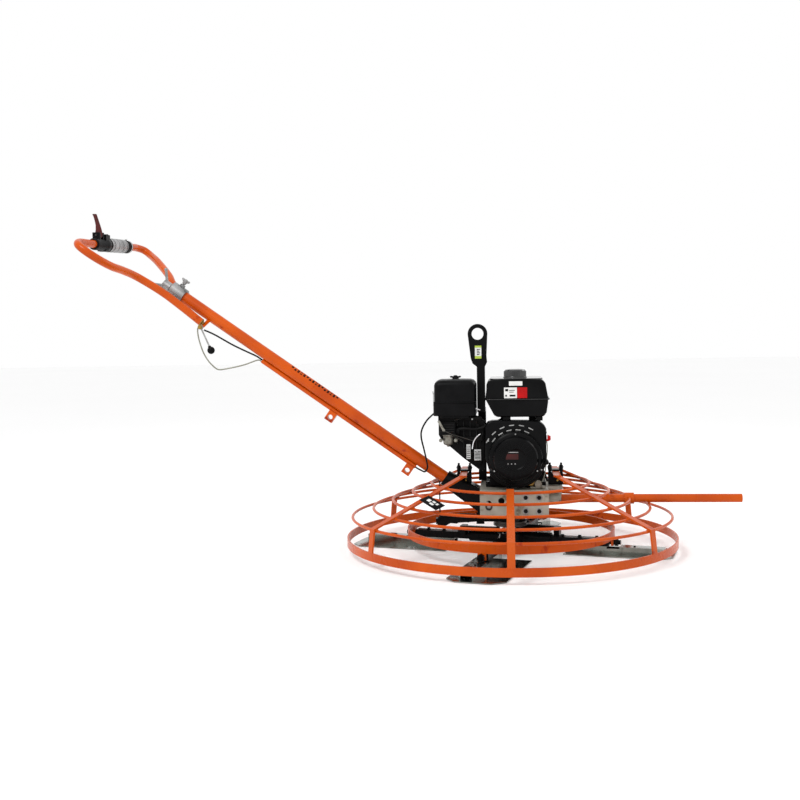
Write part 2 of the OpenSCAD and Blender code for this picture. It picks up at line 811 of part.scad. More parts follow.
// Flat plate with an eye, standing on a bracket that steps back past the cylinder and is bolted to the base
module lifting_bail() {
    eye_x = -109;
    eye_z = 769;
    stem_x = [-113, -84];
    step_z = 500;
    back_y = 116;
    color(black) difference() {
        union() {
            translate([0, bail_t / 2, 0]) rotate([90, 0, 0]) linear_extrude(bail_t) {
                translate([eye_x, eye_z]) circle(r = 35);
                polygon([
                    [eye_x - 34.6, eye_z - 6], [eye_x + 34.6, eye_z - 6], [-78, 690], [-76, 668], [-84, 652],
                    [-113, 652], [-128, 664], [-134, 682]
                ]);
            }
            box([stem_x[0], -bail_t / 2, step_z + 0.1], [stem_x[1], bail_t / 2, 656]);
        }
        y_cylinder(eye_x, eye_z, -20, 20, eye_hole_r);
    }
    color(black) {
        box([stem_x[0], -bail_t / 2, step_z - 10], [stem_x[1], back_y, step_z]);
        box([stem_x[0], back_y - bail_t, base_top], [stem_x[1], back_y, step_z - 9]);
        box([stem_x[0], back_y - bail_t, base_top], [stem_x[1], back_y + 30, base_top + 8]);
    }
}

module lift_tube() {
    color(orange) translate([base_front + 2, 0, lift_tube_z]) rotate([0, 90, 0])
        ring(lift_tube_d / 2, lift_tube_d / 2 - 3, lift_tube_end - base_front - 2);
}

// Clamp: a post that the hoop's bar rests on, and the strap over the bar
module hoop_clamp(side, foot_z) {
    bar_low = hoop_z - spoke_t / 2 - 0.1;
    bar_high = hoop_z + spoke_t / 2 + 0.1;
    box([side * hoop_x - clamp_w / 2, -18, foot_z], [side * hoop_x + clamp_w / 2, 18, bar_low]);
    box([side * hoop_x - clamp_w / 2, -18, bar_high], [side * hoop_x + clamp_w / 2, 18, bar_high + 6]);
    for (across = [-1, 1])
        translate([side * hoop_x + across * 20, 0, bar_low - 1]) cylinder(r = 5, h = bar_high - bar_low + 2);
}

module front_bracket() {
    color(black) hoop_clamp(1, base_top + 0.1);
}

// ---------------------------------------------------------------- handle

// Casting behind the base: it holds the handle tube's foot, the rear hoop clamp and the yoke's pin
module handle_bracket() {
    pad_x = base_back - 0.2;
    color(black) {
        difference() {
            union() {
                hull() {
                    on_handle(-52) cylinder(r = 29, h = 47, $fn = 32);
                    box([pad_x - 8, -42, 136], [pad_x, 42, 218]);
                }
                hoop_clamp(-1, 236);
                for (side = [-1, 1])
                    translate([yoke_x - 14, side * 62 - 5, 98]) cube([14.6, 10, 40]);
                box([pad_x - 8, -67, 136], [pad_x, 67, 200]);
                for (side = [-1, 1])
                    translate([yoke_x - 14, side * 62 - 5, 98]) cube([28, 10, 26]);
            }
            on_handle(-46) cylinder(r = handle_r + run, h = 60);
            y_cylinder(yoke_x, yoke_z, -70, 70, yoke_pin_r + run);
            box([yoke_x - 40, -56.5, 90], [yoke_x + 40, 56.5, 135.9]);
        }
    }
}

module handle_tube() {
    color(orange) {
        difference() {
            on_handle(-45) cylinder(r = handle_r, h = collar_s + 38 + 45);
            on_handle(-46) cylinder(r = handle_inner_r, h = collar_s + 100);
            translate([yoke_end_x, 0, 232]) cylinder(r = 7, h = 26);
        }
        difference() {
            flat_bar(handle_point(lever_s, -8, -12), handle_point(lever_s, -49, lever_n), 18, 5);
            on_handle(lever_s - 30) cylinder(r = handle_r - 1, h = 60);
        }
        round_bar(handle_point(lever_s, -46, lever_n), handle_point(lever_s, -70, lever_n), 4);
    }
}

// Zinc-plated end collar with a journal for the pitch screw, a boss for the clamp screw, and two side lugs
module handle_collar() {
    collar_r = 29;
    color(zinc) difference() {
        union() {
            on_handle(collar_s) {
                cylinder(r = collar_r, h = 56);
                translate([0, 0, 28]) rotate([0, 90, 0]) cylinder(r = 10, h = collar_r + 7);
            }
            flat_bar(handle_point(collar_s + 28, -18, -10.8),
                handle_point(collar_s + 28, -29, -17.4), 24, 12);
            flat_bar(handle_point(collar_s + 14, 20, 3), handle_point(collar_s + 14, 31.6, 3), 16, 22);
        }
        on_handle(collar_s - 1) cylinder(r = handle_r + run, h = 41);
        on_handle(collar_s + 30) cylinder(r = 9 + run, h = 60);
        on_handle(collar_s + 28) rotate([0, 90, 0]) translate([0, 0, handle_r + 1])
            cylinder(r = 4 + run, h = 40);
    }
}

module collar_screw() {
    color(zinc) on_handle(collar_s + 28) rotate([0, 90, 0]) {
        translate([0, 0, handle_r + 1]) cylinder(r = 4, h = 34);
        translate([-17, 0, handle_r + 33]) rotate([0, 90, 0]) cylinder(r = 4.5, h = 34);
    }
}

// Star wheel: hub, three spokes coned towards the operator, and the long screw inside the tube
module pitch_wheel() {
    color(zinc) {
        on_handle(wheel_s) cylinder(r = 17, h = 30);
        on_handle(collar_s + 39) cylinder(r = 9, h = wheel_s - collar_s - 38);
        on_handle(1000) cylinder(r = screw_r, h = collar_s + 40 - 1000);
        on_handle(wheel_s + 20) for (k = [0:2])
            rotate([0, 0, 5 + 120 * k]) {
                round_bar([8, 0, 0], [44, 0, 30], 5);
                translate([46, 0, 31.7]) sphere(r = 6.5, $fn = 32);
            }
    }
}

module pitch_nut() {
    color([0.72, 0.53, 0.25]) on_handle(nut_s) ring(handle_inner_r - 0.1, screw_r + run, 30);
}

// The cable from the nut down the tube, out of its underside and down to the yoke's tail
module pitch_cable() {
    route = [
        handle_point(996, 0, 0), handle_point(500, 0, 0), handle_point(120, 0, 0), handle_point(60, 0, -2),
        handle_point(36, 0, -8), [-252, 0, 250], [-252, 0, 220], [-252, 0, 150], [-252, 0, 78]
    ];
    color([0.2, 0.2, 0.2]) swept_tube(smooth(route, 5), 5, [0, 1, 0], 8);
}

module handlebar() {
    color(orange) swept_tube(smooth(handlebar_route, 4), handlebar_d, [0, 0, 1], 14);
}

module handle_grip() {
    ends = [crossbar(-26), crossbar(180)];
    color([0.15, 0.15, 0.16]) aim(ends[0], ends[1])
        ring(grip_d / 2, handlebar_d / 2 + 0.2, norm(ends[1] - ends[0]));
}

// The switch housing on the crossbar; its two ears carry the lever's pin
module deadman_housing() {
    ends = [crossbar(-148), crossbar(-30)];
    color(black) difference() {
        union() {
            aim(ends[0], ends[1]) cylinder(r = 21.5, h = norm(ends[1] - ends[0]));
            translate(crossbar(-53) + [-17, -19, 10]) cube([34, 38, 24]);
            for (y = [-116, -84])
                translate(crossbar(y) + [-13, -5, 8]) cube([26, 10, 34]);
        }
        aim(ends[0] + (ends[0] - ends[1]), ends[1]) cylinder(r = handlebar_d / 2 + 0.2, h = 600);
        y_cylinder(crossbar(-100).x, crossbar(-100).z + 32, -130, -70, 4 + run);
    }
}

module deadman_lever() {
    pivot = crossbar(-100) + [0, 0, 32];
    color([0.28, 0.05, 0.05]) {
        y_cylinder(pivot.x, pivot.z, -121, -79, 4);
        y_cylinder(pivot.x, pivot.z, -110, -90, 9.5);
        hull() {
            y_cylinder(pivot.x, pivot.z + 4, -109, -91, 9, $fn = 32);
            y_cylinder(pivot.x - 9, pivot.z + 72, -106, -96, 5, $fn = 32);
        }
    }
}

module throttle_lever() {
    pivot = handle_point(lever_s, -62, lever_n);
    ball = [pivot.x + 36, -62, pivot.z - 84];
    color(steel) difference() {
        y_cylinder(pivot.x, pivot.z, -68, -56, 9);
        y_cylinder(pivot.x, pivot.z, -90, -40, 4 + run);
    }
    color(steel) round_bar(pivot + [3, 0, -7.8], ball, 3);
    color(black) translate(ball) sphere(r = 13.5);
}

// The small pipe under the handle tube that the cables run in, with its two drop lugs
module cable_conduit() {
    color(orange) difference() {
        union() {
            on_handle(conduit_s[0]) translate([conduit_n, 0, 0])
                cylinder(r = conduit_r, h = conduit_s[1] - conduit_s[0]);
            for (s = [122, 460])
                on_handle(s) translate([conduit_n - 42, -14, -16]) cube([38, 28, 32]);
        }
        on_handle(conduit_s[0] - 1) translate([conduit_n, 0, 0]) cylinder(r = conduit_r - 1.5, h = 700);
        for (s = [122, 460])
            on_handle(s) translate([conduit_n - 26, 0, 0]) rotate([90, 0, 0])
                translate([0, 0, -20]) cylinder(r = 9, h = 40);
    }
}

module control_cables() {
    color([0.1, 0.1, 0.1]) swept_tube(smooth(throttle_route, 3), cable_d, [0, 1, 0], 8);
    color([0.8, 0.8, 0.75]) swept_tube(smooth(stop_route, 3), cable_d - 1, [0, 1, 0], 8);
    color([0.1, 0.1, 0.1]) swept_tube(smooth(engine_route, 3), cable_d, [0, 1, 0], 8);
}

guard_ring();
guard_rods();
guard_spokes();
engine_base();
gearbox_housing();
gearbox_cover();
bearings();
oil_plugs();
drive_belt();
belt_guard();
lifting_bail();
lift_tube();
handle_bracket();
front_bracket();
handle_tube();
handle_collar();
pitch_cable();
handlebar();
handle_grip();
deadman_housing();
cable_conduit();
control_cables();
crankcase();
cylinder_block();  // cylinder
fan_cover();
recoil_cover();
fuel_tank();
air_cleaner_base();
air_cleaner_cover();
carburetor();
muffler();
bolts();
worm_shaft();
input_pulley();
crankshaft();
clutch_drum();
recoil_grip();
fuel_cap();
engine_switch();
choke_lever();
collar_screw();
pitch_wheel();
pitch_nut();
deadman_lever();
throttle_lever();
yoke();
thrust_collar();
wear_plate();
output_shaft();
worm_wheel();
spider();
stabilizer_ring();
arm(1);  // arm_1
arm(2);  // arm_2
arm(3);  // arm_3
arm(4);  // arm_4
blade(1);  // blade_1
blade(2);  // blade_2
blade(3);  // blade_3
blade(4);  // blade_4
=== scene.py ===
"""Walk-behind power trowel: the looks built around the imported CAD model, in metres and in its frame."""

import math

import bmesh
import bpy
from mathutils import Matrix, Vector


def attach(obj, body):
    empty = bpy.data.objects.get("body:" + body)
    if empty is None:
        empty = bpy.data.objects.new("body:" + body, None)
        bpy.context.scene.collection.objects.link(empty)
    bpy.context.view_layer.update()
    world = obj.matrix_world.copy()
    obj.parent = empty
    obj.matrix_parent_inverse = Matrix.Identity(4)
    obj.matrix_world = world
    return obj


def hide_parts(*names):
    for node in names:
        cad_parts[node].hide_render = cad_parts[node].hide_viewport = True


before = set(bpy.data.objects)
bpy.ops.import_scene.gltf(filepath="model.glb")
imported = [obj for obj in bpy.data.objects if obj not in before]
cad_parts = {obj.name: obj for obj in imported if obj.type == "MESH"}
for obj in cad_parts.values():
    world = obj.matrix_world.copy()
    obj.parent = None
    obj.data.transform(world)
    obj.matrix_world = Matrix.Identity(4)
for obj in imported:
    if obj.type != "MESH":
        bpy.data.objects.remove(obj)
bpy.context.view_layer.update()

MM = 0.001
UP = Vector((0, 0, 1))
LEFT = Vector((0, 1, 0))
FORWARD = Vector((1, 0, 0))

# Driving dimensions of the CAD model that pieces are placed from, in millimetres
HANDLE_FOOT = Vector((-236, 0, 258))
HANDLE_SLOPE = math.radians(35.14)
CONDUIT_N = -29.3
COLLAR_S = 1150
LEVER_S = 1024
LEVER_N = -46
CRANK_X = 20
CRANK_Z = 342
FAN_Y = -150
RECOIL_Y = -200
RECOIL_R = 92
CAP_AT = Vector((22, -25, 614))
TANK_SEAM_Z = 542
CLEANER_LOW = Vector((-258, -150, 536))
CLEANER_HIGH = Vector((-114, 0, 612))
CROSS_RIGHT = Vector((-1456, -270, 1102))
CROSS_LEFT = Vector((-1450, 270, 1130))
ARM_Z = 40
ARM_START = 255
BASE_BOLTS = [(53, 204), (99, 204), (53, 157), (99, 157)]
BASE_SIDE_Y = 150.1
PIVOT_BOLT = (-73, 172)
GUARD_R = 585
ROD_INSETS = (21, 96, 166, 238, 306)
SPOKE_ANGLES = (-37.8, 37.8, 90, 142.2, 217.8, 270)
SPOKE_FOOT_Z = 129
SPOKE_RISE = 0.398
ROD_DROP = 8.608
HOOP_X = 162
HOOP_Z = 275.5
BAR_R = 14
BORE_R = BAR_R + 0.4


# ---------------------------------------------------------------- places

def handle_point(s, y, n):
    """A point s along the handle, y to the left, and n above its axis."""
    along = Vector((-math.cos(HANDLE_SLOPE), 0, math.sin(HANDLE_SLOPE)))
    above = Vector((math.sin(HANDLE_SLOPE), 0, math.cos(HANDLE_SLOPE)))
    return HANDLE_FOOT + along * s + Vector((0, y, 0)) + above * n


def crossbar(y):
    return CROSS_RIGHT.lerp(CROSS_LEFT, (y - CROSS_RIGHT.y) / (CROSS_LEFT.y - CROSS_RIGHT.y))


def smooth(points, steps=8):
    """A curve through all the points, as Vectors."""
    points = [Vector(p) for p in points]
    last = len(points) - 1
    path = []
    for i in range(last):
        a, b, c, d = points[max(i - 1, 0)], points[i], points[i + 1], points[min(i + 2, last)]
        for k in range(steps):
            t = k / steps
            path.append(0.5 * (2 * b + (c - a) * t + (2 * a - 5 * b + 4 * c - d) * t * t
                               + (3 * b - a - 3 * c + d) * t ** 3))
    return path + [points[last]]


def aimed(at, way):
    """The matrix that puts the origin at a place and local Z along a direction."""
    way = Vector(way).normalized()
    return Matrix.Translation(Vector(at)) @ way.to_track_quat("Z", "Y").to_matrix().to_4x4()


def on_arm(i):
    turn = Matrix.Rotation(math.radians(ARM_START + 90 * (i - 1)), 4, "Z")
    return turn @ Matrix.Translation((0, 0, ARM_Z))


# ---------------------------------------------------------------- camera, light and floor

def place_camera():
    """A camera at a standing person's distance, on the machine's starter side."""
    data = bpy.data.cameras.new("camera")
    data.lens = 47.53
    data.sensor_width = 36
    camera = bpy.data.objects.new("camera", data)
    across = Vector((0.9950, 0.0990, -0.01655))
    back = Vector((0.0998, -0.9933, 0.0579)).normalized()
    over = back.cross(across).normalized()
    across = over.cross(back)
    turn = Matrix((across, over, back)).transposed().to_4x4()
    camera.matrix_world = Matrix.Translation((-0.01074, -3.77827, 0.75616)) @ turn
    bpy.context.scene.collection.objects.link(camera)
    bpy.context.scene.camera = camera


def add_area_light(name, at, target, size, power):
    data = bpy.data.lights.new(name, "AREA")
    data.shape = "DISK"
    data.size = size
    data.energy = power
    light = bpy.data.objects.new(name, data)
    light.matrix_world = aimed(at, Vector(at) - Vector(target))
    bpy.context.scene.collection.objects.link(light)


def build_stage():
    """A white floor and sky with two soft lights. The plain view transform keeps the white floor white."""
    mesh = bpy.data.meshes.new("floor")
    half = 30
    corners = [(-half, -half, -0.001), (half, -half, -0.001), (half, half, -0.001), (-half, half, -0.001)]
    mesh.from_pydata(corners, [], [(0, 1, 2, 3)])
    floor = bpy.data.objects.new("floor", mesh)
    floor.data.materials.append(MATERIALS["floor"])
    bpy.context.scene.collection.objects.link(floor)
    world = bpy.data.worlds.new("world")
    world.use_nodes = True
    background = world.node_tree.nodes["Background"]
    background.inputs["Color"].default_value = (1, 1, 1, 1)
    background.inputs["Strength"].default_value = 1.0
    bpy.context.scene.world = world
    bpy.context.scene.view_settings.view_transform = "Standard"
    add_area_light("key", (-1.7, -2.4, 3.4), (-0.2, 0, 0.4), 1.5, 65)
    add_area_light("rim", (2.5, 2.0, 2.6), (0, 0, 0.4), 2.0, 22)


# ---------------------------------------------------------------- materials

def material(name, base, shade, rough, metallic=0.0, grain=60.0, stretch=(1, 1, 1), bump=0.1, gloss=0.5,
             spots=None, spot_amount=0.0, worn=None):
    """Two tones mixed by noise, uneven roughness, fine bump, optional stains and optional bare edges."""
    made = bpy.data.materials.new(name)
    made.use_nodes = True
    nodes = made.node_tree.nodes
    links = made.node_tree.links
    shader = nodes["Principled BSDF"]
    shader.inputs["Metallic"].default_value = metallic
    shader.inputs["Specular IOR Level"].default_value = gloss
    place = nodes.new("ShaderNodeTexCoord")
    scale = nodes.new("ShaderNodeMapping")
    scale.inputs["Scale"].default_value = stretch
    links.new(place.outputs["Object"], scale.inputs["Vector"])

    def noise(size, detail):
        node = nodes.new("ShaderNodeTexNoise")
        node.inputs["Scale"].default_value = size
        node.inputs["Detail"].default_value = detail
        links.new(scale.outputs["Vector"], node.inputs["Vector"])
        return node.outputs["Fac"]

    def ramp(value, low, high):
        node = nodes.new("ShaderNodeMapRange")
        node.inputs["From Min"].default_value = low
        node.inputs["From Max"].default_value = high
        links.new(value, node.inputs["Value"])
        return node

    def mixed(amount, first, second):
        node = nodes.new("ShaderNodeMix")
        node.data_type = "RGBA"
        links.new(amount, node.inputs["Factor"])
        for socket, colour in ((node.inputs["A"], first), (node.inputs["B"], second)):
            if isinstance(colour, tuple):
                socket.default_value = (*colour, 1)
            else:
                links.new(colour, socket)
        return node.outputs["Result"]

    colour = mixed(ramp(noise(grain / 6, 5), 0.38, 0.66).outputs["Result"], base, shade)
    if spots:
        stain = ramp(noise(grain / 2.5, 8), 0.62 - spot_amount, 0.68 - spot_amount / 2)
        colour = mixed(stain.outputs["Result"], colour, spots)
    if worn:
        edges = nodes.new("ShaderNodeNewGeometry")
        colour = mixed(ramp(edges.outputs["Pointiness"], 0.64, 0.78).outputs["Result"], colour, worn)
    links.new(colour, shader.inputs["Base Color"])
    roughness = ramp(noise(grain / 3, 4), 0.3, 0.7)
    roughness.inputs["To Min"].default_value = rough[0]
    roughness.inputs["To Max"].default_value = rough[1]
    links.new(roughness.outputs["Result"], shader.inputs["Roughness"])
    relief = nodes.new("ShaderNodeBump")
    relief.inputs["Strength"].default_value = bump
    relief.inputs["Distance"].default_value = 0.0006
    links.new(noise(grain * 9, 3), relief.inputs["Height"])
    links.new(relief.outputs["Normal"], shader.inputs["Normal"])
    return made


MATERIALS = {
    "orange": material("orange_paint", (0.54, 0.078, 0.002), (0.43, 0.054, 0.002), (0.20, 0.34), grain=40,
                       bump=0.12, gloss=0.18, spots=(0.30, 0.026, 0.002), spot_amount=-0.02,
                       worn=(0.72, 0.19, 0.04)),
    "black": material("black_paint", (0.0022, 0.0022, 0.0024), (0.0045, 0.0045, 0.0048), (0.18, 0.34),
                      grain=60, bump=0.15, gloss=0.08, worn=(0.02, 0.02, 0.02)),
    "gloss": material("gloss_black", (0.0025, 0.0025, 0.0028), (0.0050, 0.0050, 0.0055), (0.05, 0.12),
                      grain=60, bump=0.04, gloss=1.0),
    "cast": material("black_casting", (0.0022, 0.0022, 0.0024), (0.0080, 0.0075, 0.0070), (0.42, 0.62),
                     grain=90, bump=0.55, gloss=0.07, worn=(0.03, 0.03, 0.03)),
    "plastic": material("black_plastic", (0.0022, 0.0022, 0.0025), (0.0045, 0.0045, 0.0050), (0.28, 0.42),
                        grain=120, bump=0.25, gloss=0.08),
    "rubber": material("black_rubber", (0.004, 0.004, 0.004), (0.010, 0.010, 0.010), (0.55, 0.75),
                       grain=140, bump=0.35, gloss=0.15),
    "die_cast": material("die_cast_zinc", (0.34, 0.34, 0.34), (0.17, 0.17, 0.17), (0.32, 0.52), metallic=0.5,
                         grain=90, bump=0.4, spots=(0.05, 0.05, 0.05), spot_amount=0.02),
    "zinc": material("zinc_plate", (0.42, 0.40, 0.34), (0.27, 0.25, 0.20), (0.34, 0.60), metallic=0.45,
                     grain=50, bump=0.2, spots=(0.13, 0.10, 0.065), spot_amount=0.05),
    "bright_zinc": material("bright_zinc", (0.60, 0.60, 0.59), (0.42, 0.42, 0.42), (0.24, 0.42),
                            metallic=0.8, grain=90, bump=0.12, spots=(0.16, 0.15, 0.13), spot_amount=0.02),
    "yellow_zinc": material("yellow_zinc", (0.42, 0.27, 0.07), (0.26, 0.16, 0.04), (0.28, 0.46),
                            metallic=0.8, grain=120, bump=0.12),
    "steel": material("machined_steel", (0.42, 0.42, 0.41), (0.26, 0.26, 0.26), (0.25, 0.45), metallic=0.9,
                      grain=80, stretch=(1, 1, 6), bump=0.12),
    "dark_steel": material("oily_steel", (0.070, 0.066, 0.060), (0.030, 0.028, 0.026), (0.25, 0.45),
                           metallic=0.7, grain=70, bump=0.2),
    "blade": material("blade_steel", (0.30, 0.31, 0.28), (0.16, 0.17, 0.15), (0.05, 0.16), metallic=0.95,
                      grain=50, stretch=(1, 3, 1), bump=0.08, spots=(0.10, 0.085, 0.07), spot_amount=0.03),
    "carb": material("carb_metal", (0.30, 0.29, 0.25), (0.13, 0.12, 0.10), (0.30, 0.50), metallic=0.8,
                     grain=160, bump=0.3, spots=(0.03, 0.028, 0.024), spot_amount=0.06),
    "brass": material("brass", (0.52, 0.33, 0.10), (0.34, 0.20, 0.05), (0.26, 0.44), metallic=0.85,
                      grain=110, bump=0.15),
    "chrome": material("chrome", (0.82, 0.82, 0.83), (0.66, 0.66, 0.68), (0.06, 0.14), metallic=1.0,
                       grain=60, bump=0.03),
    "muffler": material("muffler_paint", (0.008, 0.0078, 0.0075), (0.022, 0.017, 0.012), (0.5, 0.7),
                        grain=80, bump=0.4, gloss=0.2, spots=(0.07, 0.032, 0.012), spot_amount=-0.02),
    "red": material("red_plastic", (0.50, 0.003, 0.004), (0.38, 0.003, 0.004), (0.22, 0.34), grain=120,
                    bump=0.1, gloss=0.15),
    "lever_red": material("lever_red", (0.070, 0.007, 0.006), (0.020, 0.004, 0.004), (0.28, 0.42),
                          grain=80, bump=0.2, gloss=0.25),
    "white": material("white_print", (0.78, 0.78, 0.76), (0.62, 0.62, 0.60), (0.35, 0.5), grain=90,
                      bump=0.05),
    "green": material("green_print", (0.42, 0.55, 0.05), (0.32, 0.43, 0.04), (0.35, 0.5), grain=90,
                      bump=0.05),
    "grey": material("grey_print", (0.34, 0.34, 0.34), (0.17, 0.17, 0.17), (0.4, 0.55), grain=120,
                     bump=0.15),
    "wire": material("pale_wire", (0.26, 0.26, 0.21), (0.17, 0.17, 0.13), (0.35, 0.5), grain=150, bump=0.1),
    "floor": material("floor", (0.97, 0.97, 0.97), (0.96, 0.96, 0.96), (0.8, 0.9), grain=2, bump=0.0),
}


# ---------------------------------------------------------------- mesh building

def add_box(bm, low, high, place=Matrix.Identity(4)):
    low, high = Vector(low), Vector(high)
    made = bmesh.ops.create_cube(bm, size=1)["verts"]
    size = Matrix.Diagonal((*(high - low), 1))
    bmesh.ops.transform(bm, matrix=place @ Matrix.Translation((low + high) / 2) @ size, verts=made)


def add_prism(bm, outline, low, high, place=Matrix.Identity(4)):
    """Closed solid: the outline's points are (x, y), and it reaches from z = low to z = high."""
    rings = [[bm.verts.new(place @ Vector((x, y, z))) for x, y in outline] for z in (low, high)]
    bm.faces.new(rings[0][::-1])
    bm.faces.new(rings[1])
    count = len(outline)
    for k in range(count):
        j = (k + 1) % count
        bm.faces.new((rings[0][k], rings[0][j], rings[1][j], rings[1][k]))


def add_lathe(bm, profile, place=Matrix.Identity(4), sides=40):
    """Closed solid of revolution about local Z: the profile's points are (radius, z), end to end."""
    rings = []
    for r, z in profile:
        if r < 1e-6:
            rings.append([bm.verts.new(place @ Vector((0, 0, z)))])
        else:
            turn = [2 * math.pi * k / sides for k in range(sides)]
            rings.append([bm.verts.new(place @ Vector((r * math.cos(t), r * math.sin(t), z))) for t in turn])
    for a, b in zip(rings, rings[1:]):
        for k in range(sides):
            j = (k + 1) % sides
            corners = [a[k % len(a)], a[j % len(a)], b[j % len(b)], b[k % len(b)]]
            unique = list(dict.fromkeys(corners))
            bm.faces.new(unique)


def add_bolt(bm, at, way, r=7.5, head=5.5, washer=True):
    """Hexagon head with chamfered corners, on a washer."""
    place = aimed(at, way)
    start = 0
    if washer:
        add_lathe(bm, [(0, 0), (r * 1.4, 0), (r * 1.45, 0.4), (r * 1.4, 1.5), (0, 1.5)], place, 28)
        start = 1.5
    add_lathe(bm, [(0, start), (r, start), (r, start + head * 0.8), (r * 0.86, start + head),
                   (0, start + head)], place, 6)


def add_tube(bm, path, radius, sides=12):
    """Closed round tube along a path of Vectors."""
    path = [Vector(p) for p in path]
    side = Vector((0, 0, 1))
    if abs((path[-1] - path[0]).normalized().dot(side)) > 0.9:
        side = Vector((1, 0, 0))
    rings = []
    for i, p in enumerate(path):
        ahead = (path[min(i + 1, len(path) - 1)] - path[max(i - 1, 0)]).normalized()
        across = (side - ahead * side.dot(ahead)).normalized()
        over = ahead.cross(across)
        side = across
        turns = [2 * math.pi * k / sides for k in range(sides)]
        rings.append([bm.verts.new(p + (across * math.cos(t) + over * math.sin(t)) * radius) for t in turns])
    bm.faces.new(rings[0][::-1])
    bm.faces.new(rings[-1])
    for a, b in zip(rings, rings[1:]):
        for k in range(sides):
            j = (k + 1) % sides
            bm.faces.new((a[k], a[j], b[j], b[k]))


def add_spring(bm, start, end, radius, wire, turns):
    """A helical wire spring between two places."""
    place = aimed(start, Vector(end) - Vector(start))
    length = (Vector(end) - Vector(start)).length
    steps = turns * 14
    path = [place @ Vector((radius * math.cos(2 * math.pi * turns * k / steps),
                            radius * math.sin(2 * math.pi * turns * k / steps), length * k / steps))
            for k in range(steps + 1)]
    add_tube(bm, path, wire, 6)


def piece(name, body, look, build, bevel=0.0, segments=3, replaces=()):
    """Builds a mesh piece in millimetres, rounds its edges, and hangs it on a CAD body."""
    bm = bmesh.new()
    build(bm)
    bmesh.ops.recalc_face_normals(bm, faces=bm.faces)
    bmesh.ops.scale(bm, vec=(MM, MM, MM), verts=bm.verts)
    mesh = bpy.data.meshes.new(name)
    bm.to_mesh(mesh)
    bm.free()
    for face in mesh.polygons:
        face.use_smooth = True
    made = bpy.data.objects.new(name, mesh)
    bpy.context.scene.collection.objects.link(made)
    mesh.materials.append(MATERIALS[look])
    if bevel:
        rounded = made.modifiers.new("bevel", "BEVEL")
        rounded.width = bevel * MM
        rounded.segments = segments
        rounded.limit_method = "ANGLE"
        rounded.angle_limit = math.radians(28)
        rounded.harden_normals = True
    mesh.set_sharp_from_angle(angle=math.radians(38))
    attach(made, body)
    if replaces:
        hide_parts(*replaces)
    return made


# ---------------------------------------------------------------- CAD nodes that stay

NODE_LOOKS = {
    "orange": ["guard_ring", "guard_rods", "guard_spokes", "lift_tube", "handle_tube", "cable_conduit",
               "stabilizer_ring"],
    "black": ["lifting_bail", "handle_bracket", "front_bracket", "yoke", "spider", "arm_1", "arm_2", "arm_3",
              "arm_4", "bolts"],
    "cast": ["gearbox_housing", "gearbox_cover", "crankcase", "cylinder"],
    "zinc": ["engine_base"],
    "die_cast": ["handle_collar", "pitch_wheel"],
    "steel": ["bearings", "worm_shaft", "output_shaft", "crankshaft", "clutch_drum", "input_pulley"],
    "dark_steel": ["thrust_collar", "wear_plate"],
    "blade": ["blade_1", "blade_2", "blade_3", "blade_4"],
    "brass": ["worm_wheel", "pitch_nut", "oil_plugs"],
    "carb": ["choke_lever"],
    "rubber": ["drive_belt", "pitch_cable"],
    "red": ["engine_switch"],
    "plastic": ["recoil_grip"],
}


def dress_cad_nodes():
    for look, names in NODE_LOOKS.items():
        for name in names:
            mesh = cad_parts[name].data
            mesh.materials.clear()
            mesh.materials.append(MATERIALS[look])


# ---------------------------------------------------------------- handle

HANDLEBAR_ROUTE = [
    (-1106, -35, 828), (-1172, -46, 884), (-1238, -59, 937), (-1313, -99, 990), (-1339, -174, 1010),
    (-1356, -250, 1022), (-1390, -310, 1050), (-1434, -318, 1084), CROSS_RIGHT, crossbar(-180),
    crossbar(-60), crossbar(60), crossbar(180), crossbar(255), CROSS_LEFT, (-1430, 310, 1122),
    (-1396, 296, 1098), (-1345, 225, 1066), (-1273, 125, 1009), (-1240, 72, 972), (-1205, 50, 945),
    (-1180, 47, 926),
]
THROTTLE_ROUTE = [
    (-1091, -51, 799), (-1070, -48, 790), (-1048, -42, 778), (-1020, -32, 760), (-990, -18, 741),
    handle_point(850, -6, CONDUIT_N - 4), handle_point(812, -1, CONDUIT_N + 2),
    handle_point(792, 0, CONDUIT_N + 2.9), handle_point(772, 0, CONDUIT_N + 2.9),
]
STOP_ROUTE = [
    (-1118, -36, 808), (-1119, -36, 790), (-1113, -36, 757), (-1099, -36, 716), (-1080, -35, 684),
    (-1056, -33, 660), (-1042, -32, 655), (-1022, -28, 657), (-985, -16, 664),
    handle_point(824, -5, CONDUIT_N - 44), handle_point(802, -1, CONDUIT_N - 13),
    handle_point(792, 0, CONDUIT_N - 3.8), handle_point(784, 0, CONDUIT_N - 3.3),
    handle_point(772, 0, CONDUIT_N - 3.3),
]
ENGINE_ROUTE = [
    (-265, -60, 490), (-290, -60, 466), (-308, -60, 434), (-311, -58, 405), (-303, -52, 365),
    (-295, -46, 325), (-292, -40, 296), (-302, -30, 280), (-318, -12, 283),
    handle_point(98, 0, CONDUIT_N - 1), handle_point(108, 0, CONDUIT_N), handle_point(120, 0, CONDUIT_N),
]


